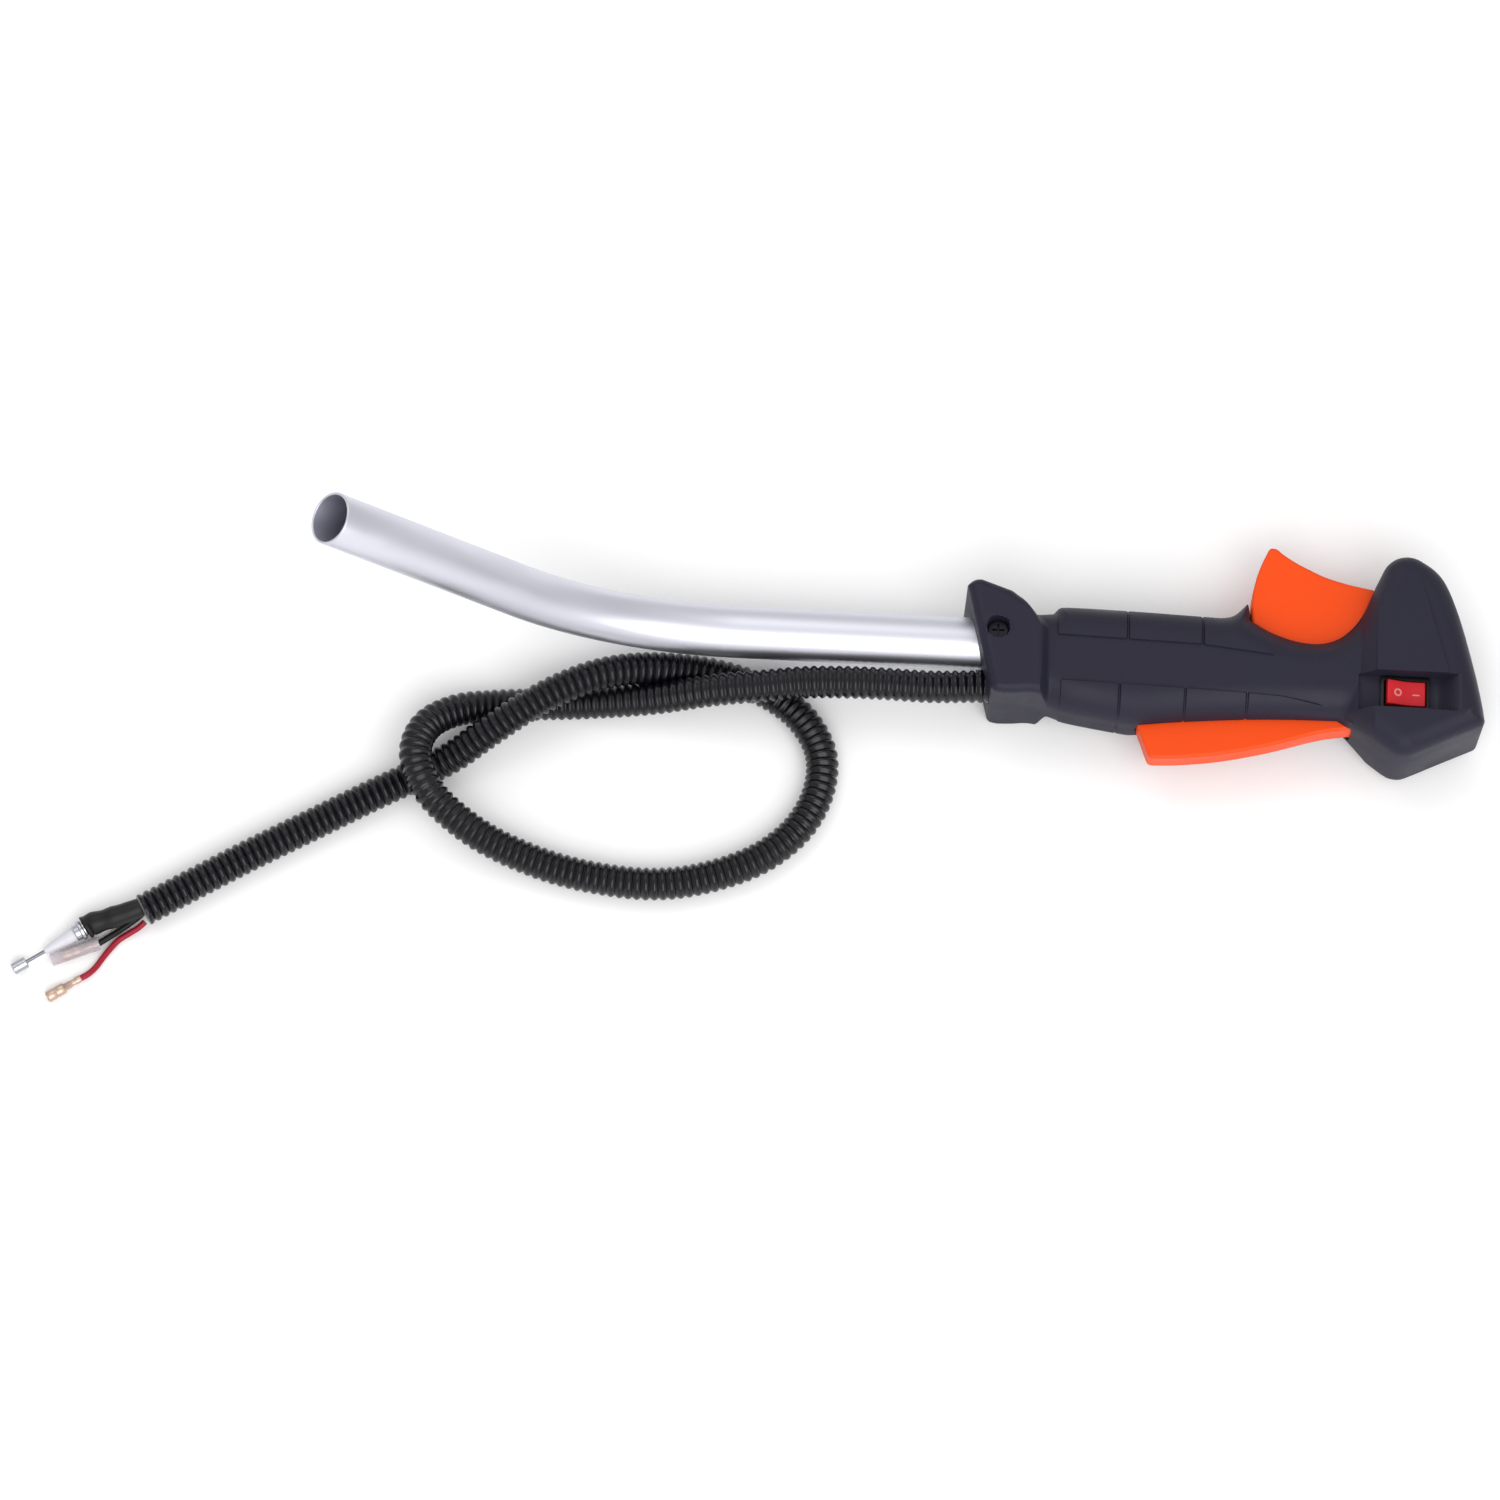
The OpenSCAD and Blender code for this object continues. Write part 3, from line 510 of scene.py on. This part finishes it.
# Where the collar meets the grip, and the grip the head: (x, y) points of two lines across the body.
COLLAR_LINE = [(10.6, 16), (13.4, 12), (19.6, 2), (20.4, -30)]
HEAD_LINE = [(153.4, 30), (152.6, -10), (149.5, -22), (146.5, -28), (146, -33)]
COLLAR_SLOPE = 2.4      # half the width of the slope from the collar to the grip

# The body's outline, one run between each pair of sharp corners.
NOSE_ARC = arc((172, 32.3), 11, 160, 60, 10)
OUTLINE_RUNS = [
    [(-13.5, 18.6), (-12, 20.2), (-9.8, 21.4), (-7.6, 21.6)],
    [(-7.6, 21.6), (5.4, 17.2)],
    [(5.4, 17.2), (8.4, 15), (12.4, 12.7), (17, 12), (23.4, 12.6)],
    [(23.4, 12.6), (25.4, 14.7), (30, 15.5), (54, 15.3), (86, 14.4), (95, 14.3), (99.5, 15.6),
     (103, 18.8), (104.8, 21)],
    [(104.8, 21), (105.8, 20.4), (106.4, 17), (106.8, 13.6)],
    [(106.8, 13.6), (115, 9), (125, 5.6), (135, 4.6), (143, 6.8), (149, 11.5), (154, 18.5),
     (158.5, 29)] + NOSE_ARC + [
        (183.8, 37.6), (188.8, 31), (194.2, 17), (199.4, -1.7), (203.5, -19), (205.3, -29)],
    [(205.3, -29), (204.6, -30.8), (203, -31.8)],
    [(203, -31.8), (188, -39), (178, -43.9), (173, -45.9), (168.5, -45.6), (165, -43.8),
     (160, -40.2), (150, -32.5), (144, -28.8)],
    [(144, -28.8), (125, -29.2), (105, -30.2), (78, -32.6), (60, -34.8), (54, -34.6), (45, -33.4),
     (30, -31), (22, -28.6), (15, -27.4), (8, -28), (2.4, -28.2)],
    [(2.4, -28.2), (-0.8, -27.6), (-2.2, -26.2)],
    [(-2.2, -26.2), (-13.5, 18.6)]]
outline = np.vstack([smooth_line(run, 4)[:-1] for run in OUTLINE_RUNS])

# The trigger's and the lever's outlines.
trigger_front = arc(TRIGGER_PIVOT, TRIGGER_REACH, 187, 153.6, 3)
trigger_top = smooth_line([(113.4, 45.7), (114.6, 46.9), (117.2, 46.7), (119.8, 44.6), (125.5, 41),
                           (132, 37.8), (138.5, 35), (148, 32.4), (158, 30.6)], 4)
trigger_under = smooth_line([(168, 25), (170, 15), (160, 9), (146, 3.6), (135, 1.6), (124, 3.2), (114, 7.4)], 3)
trigger_plate = np.vstack([trigger_front, trigger_top[1:], trigger_under])
trigger_arm = np.array([TRIGGER_PIVOT + (-4.5, 0), TRIGGER_PIVOT + (4.5, 0), NIPPLE + (NIPPLE_EYE, 0)]
                       + arc(NIPPLE, NIPPLE_EYE, 0, -180, 20)[1:])
lever_plate = np.vstack([
    smooth_line([(148, -20.5), (120, -25), (90, -28.4), (60.5, -30.6)], 5),
    smooth_line([(59.8, -33.2), (62.6, -40.6), (65.2, -47.2), (66.8, -48.5), (70, -48.6), (80, -47.9),
                 (96, -45.6), (116, -40.8), (136, -34.5), (149, -31.8)], 4),
    arc(LEVER_PIVOT, 6.3, -100, 60, 16)])

# Stations run across the body. They lean with its end faces and stand square along the grip.
LEFT_LEAN, RIGHT_LEAN = -11.3 / 44.8, -0.29
ROWS = (32, 34, 50)     # below the lower pads' line, between the lines, above the upper pads' line
EDGE = 0.13             # half the width of a crisp edge
END_STEPS = np.array([0.001, 0.05, 0.2, 0.45, 0.8, 1.25, 1.8, 2.4, 3.1])
UPPER_GROOVES = (54.7, 86.2)
LOWER_GROOVES = (51.8, 79.4, 105.5)
PAD_START, LOWER_PAD_START = 25.2, 27.2
CHANNEL_START, PANEL_START, PANEL_END = 152.0, 158.8, 186.3
STATION_GAP, LEAST_GAP = 0.66, 0.04
GROOVE_STEPS = (-0.75, -0.45, -0.15, 0.15, 0.45, 0.75)
GROOVE_FLAT, GROOVE_HALF = 0.2, 0.65


def lean(a):
    """How far a station's line moves along the body for each millimetre across it."""
    return LEFT_LEAN * (1 - ease(a, -6, 24)) + RIGHT_LEAN * ease(a, 160, 188)


def lower_line(a):
    """Top edge of the lower pads, then the channel's lower edge."""
    return np.interp(a, [27, 52, 102, 120, 150], [-20.2, -20.9, -21.8, -22.4, -26.8])


def upper_line(a):
    """Bottom edge of the upper pads, then the channel's upper edge."""
    return np.interp(a, [25, 43, 85, 115, 150], [-0.2, -0.6, -1.6, -4.6, -11.2])


def stations():
    """Where the lines across the body meet its axis: dense at the ends, grooves and crisp edges."""
    left, top = OUTLINE_RUNS[0][0]
    first = left - LEFT_LEAN * top
    a = np.linspace(185, 205, 8000)
    reach = (outline[:, 0] - lean(a)[:, None] * outline[:, 1]).max(1)
    last = a[np.argmax(a >= reach) - 1]
    at = list(first + END_STEPS) + list(last - END_STEPS) + list(np.arange(first + 3.7, last - 3.4, STATION_GAP))
    for groove in UPPER_GROOVES + LOWER_GROOVES:
        at += [groove + s for s in GROOVE_STEPS]
    for step in (PAD_START, LOWER_PAD_START, CHANNEL_START, PANEL_START, PANEL_END):
        at += [step - EDGE, step + EDGE]
    at = np.sort(np.array(at))
    return at[np.insert(np.diff(at) > LEAST_GAP, 0, True) | (at > last - 1)]


def across(a):
    """Where a station's line meets the outline, low and high."""
    side = outline[:, 0] - lean(a) * outline[:, 1] - a
    ahead = np.roll(side, -1)
    cut = (side > 0) != (ahead > 0)
    y = outline[:, 1] + (np.roll(outline[:, 1], -1) - outline[:, 1]) * side / np.where(cut, side - ahead, 1)
    return y[cut].min(), y[cut].max()


def groove_at(x, places):
    """1 at the bottom of a groove, 0 away from it."""
    return np.max([1 - ease(np.abs(x - g), GROOVE_FLAT, GROOVE_HALF) for g in places], axis=0)


def dense_ends(count, start, end):
    """Values from start to end, closer together at both."""
    t = np.linspace(0, 1, count)
    return start + (end - start) * (0.35 * (1 - np.cos(pi * t)) + 0.3 * t)


def form_grid():
    """Points over the outline, in rows that follow the pads' and the channel's edges."""
    at = stations()
    grid = np.empty((len(at), sum(ROWS), 2))
    for i, a in enumerate(at):
        low, high = across(a)
        high -= UPPER_NOTCH * groove_at(np.array([a]), UPPER_GROOVES)[0]
        low += LOWER_NOTCH * groove_at(np.array([a]), LOWER_GROOVES)[0]
        width = high - low
        one = np.clip(lower_line(a), low + 0.17 * width, low + 0.45 * width)
        two = np.clip(upper_line(a), one + 0.08 * width, high - 0.2 * width)
        gap = min(EDGE, 0.01 * width)
        y = np.concatenate([dense_ends(ROWS[0], low, one - gap), dense_ends(ROWS[1], one + gap, two - gap),
                            dense_ends(ROWS[2], two + gap, high)])
        grid[i] = np.column_stack([a + lean(a) * y, y])
    return at, grid


def dome(depth, half, edge):
    """Height over the parting plane of a form with a rounded edge."""
    t = 1 - np.clip(depth / edge, 0, 1)
    return half - edge * (1 - np.sqrt(np.clip(1 - t * t, 0, 1)))


def ramp_line(y, points):
    """The x of a line through a few (x, y) points, at any y."""
    ys, xs = zip(*sorted((p[1], p[0]) for p in points))
    return np.interp(y, ys, xs)


def outer_height(a, x, y, depth, near):
    """The outside: collar, padded grip and head, run into one another."""
    collar = dome(depth, COLLAR_HALF, COLLAR_EDGE)
    grip = dome(depth, GRIP_HALF, GRIP_EDGE)
    head = dome(depth, HEAD_HALF, HEAD_EDGE)
    # raised pads along both edges of the grip, parted by grooves
    upper = (y > upper_line(a)) * ease(a, PAD_START - EDGE, PAD_START + EDGE) * (1 - ease(a, 113.6, 119))
    lower = (y < lower_line(a)) * ease(a, LOWER_PAD_START - EDGE, LOWER_PAD_START + EDGE)
    lower = lower * (1 - ease(a + 0.6 * (y + 29), 137, 141))
    upper = upper * (1 - groove_at(a, UPPER_GROOVES))
    lower = lower * (1 - groove_at(a, LOWER_GROOVES))
    grip = grip + PAD_LIFT * upper + PAD_LIFT * lower + PAD_BED
    # the collar falls to the grip in a slope, and the neck climbs to the head
    step = ramp_line(y, COLLAR_LINE)
    to_grip = ease(x, step - COLLAR_SLOPE, step + COLLAR_SLOPE)
    head_line = ramp_line(y, HEAD_LINE)
    to_head = np.clip((x - head_line) / (PANEL_START - EDGE - head_line), 0, 1)
    h = collar * (1 - to_grip) + grip * to_grip
    h = h * (1 - to_head) + head * to_head
    panel = (y > upper_line(a)) * ease(a, PANEL_START - EDGE, PANEL_START + EDGE)
    panel = panel * (1 - ease(a, PANEL_END - EDGE, PANEL_END + EDGE)) * (1 - ease(y, 18, 34))
    if near:
        h = h + PANEL_LIFT * panel * ease(depth, 1, 4) - HEAD_SLOPE * np.clip(y + 11, 0, 45) * to_head
        # the switch sits in a channel that climbs to the head's rim
        sunk = ease(a, CHANNEL_START - EDGE, CHANNEL_START + EDGE) * (1 - ease(x, 184, 195))
        sunk = sunk * (y > lower_line(a)) * (y < upper_line(a))
        h = h * (1 - sunk) + CHANNEL_FLOOR * sunk
        # the sunken seat of the tube's lock screw, with a low ring round it
        from_lock = np.hypot(x, y)
        h = h + LOCK_RING_LIFT * (1 - ease(np.abs(from_lock - LOCK_RING), 0.2, 0.7))
        h = np.where(from_lock < LOCK_SEAT, SCREW_SEAT, h)
        # three pips on the head's rim
        for px, py in PIPS:
            h = h + 0.7 * (1 - ease(np.hypot(x - px, y - py), 0.3, 1.3))
    else:
        for px, py in SCREWS:
            h = np.where(np.hypot(x - px, y - py) < SCREW_RECESS, np.minimum(h, SCREW_SEAT), h)
    return h


def bore(x, y, centre, radius, start, end):
    """The height of a round bore along X."""
    inside = (np.abs(y - centre) < radius) & (x > start) & (x < end)
    return np.where(inside, np.sqrt(np.clip(radius ** 2 - (y - centre) ** 2, 0, None)), 0)


def inner_height(x, y, depth, top, near):
    """The underside: hollow between ribs and bosses, with room for what turns and what is clamped."""
    # solid to the parting plane: the collar, the rim, the ribs, the cable's stop and the bosses
    kept = (x < SOLID_TO) | (depth < WALL)
    for rib in RIBS:
        kept |= (x > rib) & (x < rib + RIB_WIDTH) & (y > RIB_FOOT)
    kept |= (x > CABLE_STOP[0]) & (x < CABLE_STOP[1]) & (np.abs(y - CABLE_Y) < CABLE_STOP_HALF)
    bosses = [(p, SCREW_BOSS) for p in SCREWS] + [(TRIGGER_PIVOT, PIVOT_BOSS), (LEVER_PIVOT, PIVOT_BOSS)]
    for (px, py), radius in bosses:
        kept |= np.hypot(x - px, y - py) < radius
    low = np.where(kept, THINNEST, np.maximum(top - WALL, THINNEST))
    # room for the trigger's plate and arm and the lever's plate through their travel
    points = np.column_stack([x.ravel(), y.ravel()])
    rooms = [(trigger_plate, TRIGGER_PIVOT, TRIGGER_TRAVEL, TRIGGER_HALF),
             (trigger_arm, TRIGGER_PIVOT, TRIGGER_TRAVEL, ARM_HALF),
             (lever_plate, LEVER_PIVOT, -LEVER_TRAVEL, LEVER_HALF)]
    for plate, pivot, travel, half in rooms:
        for part in np.linspace(0, 1, 7):
            room = depth_inside(points, turned(plate, pivot, travel * part)).reshape(x.shape) > -MOVING_ROOM
            low = np.where(room, np.maximum(low, half + SIDE_ROOM), low)
    # room for the return springs and hubs, and the pins' bores
    for pivot in (TRIGGER_PIVOT, LEVER_PIVOT):
        reach = np.hypot(x - pivot[0], y - pivot[1])
        if near:
            low = np.where(reach < SPRING_ROOM[0], np.maximum(low, SPRING_ROOM[1]), low)
        low = np.where(reach < HUB_ROOM[0], np.maximum(low, HUB_ROOM[1]), low)
        low = np.where(reach < PIN_BORE, np.maximum(low, PIN_HALF), low)
    for along_x in BORES:
        low = np.maximum(low, bore(x, y, *along_x))
    # the screws' bores, and the pocket of the lock screw's nut
    for px, py in SCREWS:
        low = np.where(np.hypot(x - px, y - py) < SCREW_BORE, np.maximum(low, 8.6 if near else 15.6), low)
    lock = np.hypot(x, y)
    low = np.where(lock < PIN_BORE, np.maximum(low, 15.6 if near else 21.9), low)
    if not near:
        low = np.where(lock < NUT_POCKET, np.maximum(low, 19), low)
    return low


def shell(name, replaced, near):
    """One half of the grip: outside and underside over one grid, joined along every open edge."""
    at, grid = form_grid()
    x, y = grid[..., 0], grid[..., 1]
    depth = np.maximum(depth_inside(grid.reshape(-1, 2), outline).reshape(x.shape), 0)
    top = outer_height(at[:, None], x, y, depth, near)
    low = inner_height(x, y, depth, top, near)
    top = np.maximum(top, low + THINNEST)
    n, m = x.shape
    side = 1 if near else -1
    outer = np.stack([x, y, PARTING + side * top], axis=2).reshape(-1, 3)
    inner = np.stack([x, y, PARTING + side * low], axis=2).reshape(-1, 3)
    keep = np.ones((n - 1, m - 1), bool)
    if near:
        # the switch body's cut-out, under its bezel
        mx = (x[:-1, :-1] + x[1:, 1:]) / 2 - SWITCH_AT[0]
        my = (y[:-1, :-1] + y[1:, 1:]) / 2 - SWITCH_AT[1]
        keep = ~((np.abs(mx) < SWITCH_CUT[0]) & (np.abs(my) < SWITCH_CUT[1]))
    i, j = np.nonzero(keep)
    base = n * m
    corner = np.stack([i * m + j, (i + 1) * m + j, (i + 1) * m + j + 1, i * m + j + 1], axis=1)
    faces = [tuple(f) for f in corner.tolist()] + [tuple(f[::-1]) for f in (corner + base).tolist()]
    edges = {}      # keeps the order in which open edges were met
    for f in corner.tolist():
        for a, b in zip(f, f[1:] + f[:1]):
            if (b, a) in edges:
                del edges[(b, a)]
            else:
                edges[(a, b)] = True
    faces += [(b, a, a + base, b + base) for a, b in edges]
    piece(name, np.vstack([outer, inner]), faces, "handle", "shell_plastic", GRIP, [replaced], sharp=34)


shell("near_grip_shell", "near_shell", True)
shell("far_grip_shell", "far_shell", False)


# ------------------------------------------------------------------ handlebar tube

TUBE_RADIUS, TUBE_BORE = 11.0, 10.0
TUBE_SIDES = 72
STRAIGHT, IN_GRIP, BEND_RADIUS, BEND_ANGLE, END_LENGTH = 108.0, 75.0, 130.0, 46.0, 108.5


def tube_line():
    """Points and directions from the grip to the open end."""
    line = [((x, 0, PARTING), (-1, 0, 0)) for x in (IN_GRIP, 30, 0, -40, -80)]
    for a in np.radians(np.linspace(0, BEND_ANGLE, 30)):
        line.append(((-STRAIGHT - BEND_RADIUS * sin(a), 0, PARTING + BEND_RADIUS * (1 - cos(a))),
                     (-cos(a), 0, sin(a))))
    last, way = (np.array(v, float) for v in line[-1])
    line += [(last + way * s, way) for s in (30, 70, END_LENGTH)]
    return [(np.array(p, float), np.array(t, float)) for p, t in line]


def handlebar():
    """One skin: down the outside, round the lip of the open end and back up the bore."""
    line = tube_line()
    side = (0, 1, 0)
    outside = [ring_at(p, t, TUBE_RADIUS, TUBE_SIDES, side) for p, t in line[:-1]]
    inside = [ring_at(p, t, TUBE_BORE, TUBE_SIDES, side) for p, t in line[:-1]]
    end, way = line[-1]
    lip = [(-0.35, TUBE_RADIUS), (-0.12, TUBE_RADIUS - 0.08), (0, TUBE_RADIUS - 0.3),
           (0, TUBE_BORE + 0.3), (-0.12, TUBE_BORE + 0.08), (-0.35, TUBE_BORE)]
    rim = [ring_at(end + way * back, way, r, TUBE_SIDES, side) for back, r in lip]
    return skin(outside + rim + inside[::-1], loop=True)


piece("bent_handlebar", *handlebar(), "handle", "tube_alloy", ALLOY, ["handlebar_tube"], sharp=50)


# ------------------------------------------------------------------ trigger and lever

EDGE_ROUNDING = 1.8


def flat_piece(name, body, replaced, *plates):
    """An orange moulding of one or more plates, centred on the parting plane."""
    shapes = [prism(line, PARTING - half, PARTING + half) for line, half in plates]
    obj = piece(name, *joined(*shapes), body, "orange_plastic", ORANGE, [replaced], sharp=40)
    bevelled(obj, EDGE_ROUNDING)


flat_piece("moulded_trigger", "trigger", "throttle_trigger",
           (trigger_plate, TRIGGER_HALF), (trigger_arm, ARM_HALF))
flat_piece("moulded_lever", "lever", "safety_lever", (lever_plate, LEVER_HALF))


# ------------------------------------------------------------------ switch

BEZEL_L, BEZEL_W, BEZEL_T = 21.0, 15.0, 1.6
SWITCH_FLOOR = PARTING + CHANNEL_FLOOR
ROCKER_L, ROCKER_W = 16.8, 10.6
ROCKER_Z = 40.8
ROCKER_TILT = radians(10)


def rounded_box(length, width, radius, steps=5):
    corners = [(length / 2 - radius, width / 2 - radius, 0), (-length / 2 + radius, width / 2 - radius, 90),
               (-length / 2 + radius, -width / 2 + radius, 180), (length / 2 - radius, -width / 2 + radius, 270)]
    return np.array([p for cx, cy, a in corners for p in arc((cx, cy), radius, a, a + 90, 90 / steps)])


def frame_ring(length, width, radius, z):
    box = rounded_box(length, width, radius)
    return np.column_stack([box + SWITCH_AT, np.full(len(box), SWITCH_FLOOR + z)])


def switch_body():
    """One skin: down the outside of the bezel and body, and back up the rocker's well."""
    body_l, body_w, deep = BEZEL_L - 2, BEZEL_W - 2, -10.5
    well_l, well_w = ROCKER_L + 0.8, ROCKER_W + 0.6
    steps = [(well_l, well_w, 0.5, deep + 1), (well_l, well_w, 0.5, BEZEL_T - 0.3),
             (well_l + 0.5, well_w + 0.5, 0.7, BEZEL_T), (BEZEL_L - 0.9, BEZEL_W - 0.9, 0.9, BEZEL_T),
             (BEZEL_L - 0.25, BEZEL_W - 0.25, 1.1, BEZEL_T - 0.2), (BEZEL_L, BEZEL_W, 1.2, BEZEL_T - 0.6),
             (BEZEL_L, BEZEL_W, 1.2, 0.02), (body_l, body_w, 0.6, 0.02), (body_l, body_w, 0.6, deep)]
    return skin([frame_ring(*s) for s in steps])


piece("switch_bezel_body", *switch_body(), "handle", "switch_black", SWITCH, ["switch_housing"])


def on_rocker(points):
    """From the rocker's own frame (along, across, up) to its place, tilted to one side."""
    p = np.array(points, float)
    x = p[:, 0] * cos(ROCKER_TILT) + p[:, 2] * sin(ROCKER_TILT)
    z = -p[:, 0] * sin(ROCKER_TILT) + p[:, 2] * cos(ROCKER_TILT)
    return np.column_stack([x + SWITCH_AT[0], p[:, 1] + SWITCH_AT[1], z + ROCKER_Z])


def rocker_top(x):
    """The rocker's face: two flanks that meet in a rounded valley."""
    return 1.4 + 0.165 * np.abs(x) + 0.2 * np.exp(-(np.asarray(x) / 1.6) ** 2)


def rocker_shape():
    top_x = np.linspace(-ROCKER_L / 2 + 0.5, ROCKER_L / 2 - 0.5, 25)
    side = [(x, float(rocker_top(x))) for x in top_x]
    side += [(8.3, 2.0), (8.1, -0.6), (7.2, -3.0), (-7.2, -3.0), (-8.1, -0.6), (-8.3, 2.0)]
    rings = [[(x, s * ROCKER_W / 2, z) for x, z in side] for s in (-1, 1)]
    return skin([on_rocker(r) for r in rings])


ROCKER_ROUNDING = 0.45

rocker = piece("rocker_cap", *rocker_shape(), "rocker", "rocker_red", RED, ["rocker_button"])
bevelled(rocker, ROCKER_ROUNDING, segments=3, angle=30)


# A mark's height over the rocker's face: its sunken foot, its shoulder and its top.
FOOT, SHOULDER, TOP = -0.1, 0.08, 0.14
RING_AT, RING_INNER, RING_OUTER = -3.6, 1.0, 1.7
DASH_AT = (4.2, -0.6)


def mark(lines, loop=False):
    """A low raised mark: lines of (along, across) points, each at its height over the face."""
    rings = []
    for line, lift in lines:
        p = np.array(line, float)
        rings.append(on_rocker(np.column_stack([p, rocker_top(p[:, 0]) + lift])))
    return skin(rings, loop)


ring = mark([(arc((RING_AT, 0), r, 0, 350, 10), lift) for r, lift in (
    (RING_OUTER, FOOT), (RING_OUTER, SHOULDER), (RING_OUTER - 0.1, TOP),
    (RING_INNER + 0.1, TOP), (RING_INNER, SHOULDER), (RING_INNER, FOOT))], loop=True)
foot = rounded_box(3.0, 0.6, 0.25) + DASH_AT
crown = rounded_box(2.8, 0.4, 0.15) + DASH_AT
dash = mark([(foot, FOOT), (foot, SHOULDER), (crown, TOP)])
piece("rocker_marks", *joined(ring, dash), "rocker", "rocker_red", MARK)


# ------------------------------------------------------------------ carried-over parts

for node, material in {
        "tube_lock_screw": DARK_STEEL, "tube_lock_nut": ZINC, "shell_screws": ZINC,
        "trigger_pivot_pin": ZINC, "lever_pivot_pin": ZINC, "trigger_return_spring": SPRING,
        "lever_return_spring": SPRING, "switch_terminals": BRASS, "switch_wire_red": RED_WIRE,
        "switch_wire_black": CABLE, "throttle_cable_sheath": CABLE, "cable_stop_ferrule": ZINC,
        "throttle_inner_wire": SPRING, "barrel_nipple": ZINC}.items():
    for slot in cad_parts[node].material_slots:
        slot.material = material


# ------------------------------------------------------------------ floor and light

FLOOR_HALF = 6              # metres
LIGHTS_AIM = Vector((-0.1, -0.05, 0.0))
WORLD_STRENGTH = 0.74


def floor():
    mesh = bpy.data.meshes.new("floor")
    corners = [(FLOOR_HALF * i, FLOOR_HALF * j, 0) for i, j in ((-1, -1), (1, -1), (1, 1), (-1, 1))]
    mesh.from_pydata(corners, [], [(0, 1, 2, 3)])
    mat = bpy.data.materials.new("pale_floor")
    mat.use_nodes = True
    shader = mat.node_tree.nodes["Principled BSDF"]
    shader.inputs["Base Color"].default_value = (0.93, 0.93, 0.93, 1)
    shader.inputs["Roughness"].default_value = 0.9
    shader.inputs["Specular IOR Level"].default_value = 0.1
    mesh.materials.append(mat)
    obj = bpy.data.objects.new("floor", mesh)
    bpy.context.scene.collection.objects.link(obj)


def softbox(name, at, size, watts):
    data = bpy.data.lights.new(name, "AREA")
    data.shape = "SQUARE"
    data.size = size
    data.energy = watts
    obj = bpy.data.objects.new(name, data)
    obj.rotation_euler = (LIGHTS_AIM - Vector(at)).to_track_quat("-Z", "Y").to_euler()
    obj.location = at
    bpy.context.scene.collection.objects.link(obj)


floor()
# position in metres, side in metres, watts
softbox("key_light", (0.3, -1.4, 1.5), 2.0, 34)
softbox("fill_light", (-0.6, 1.0, 1.8), 1.4, 8)
world = bpy.data.worlds.new("studio")
world.use_nodes = True
background = world.node_tree.nodes["Background"]
background.inputs["Color"].default_value = (1, 1, 1, 1)
background.inputs["Strength"].default_value = WORLD_STRENGTH
bpy.context.scene.world = world
bpy.context.scene.view_settings.view_transform = "Standard"
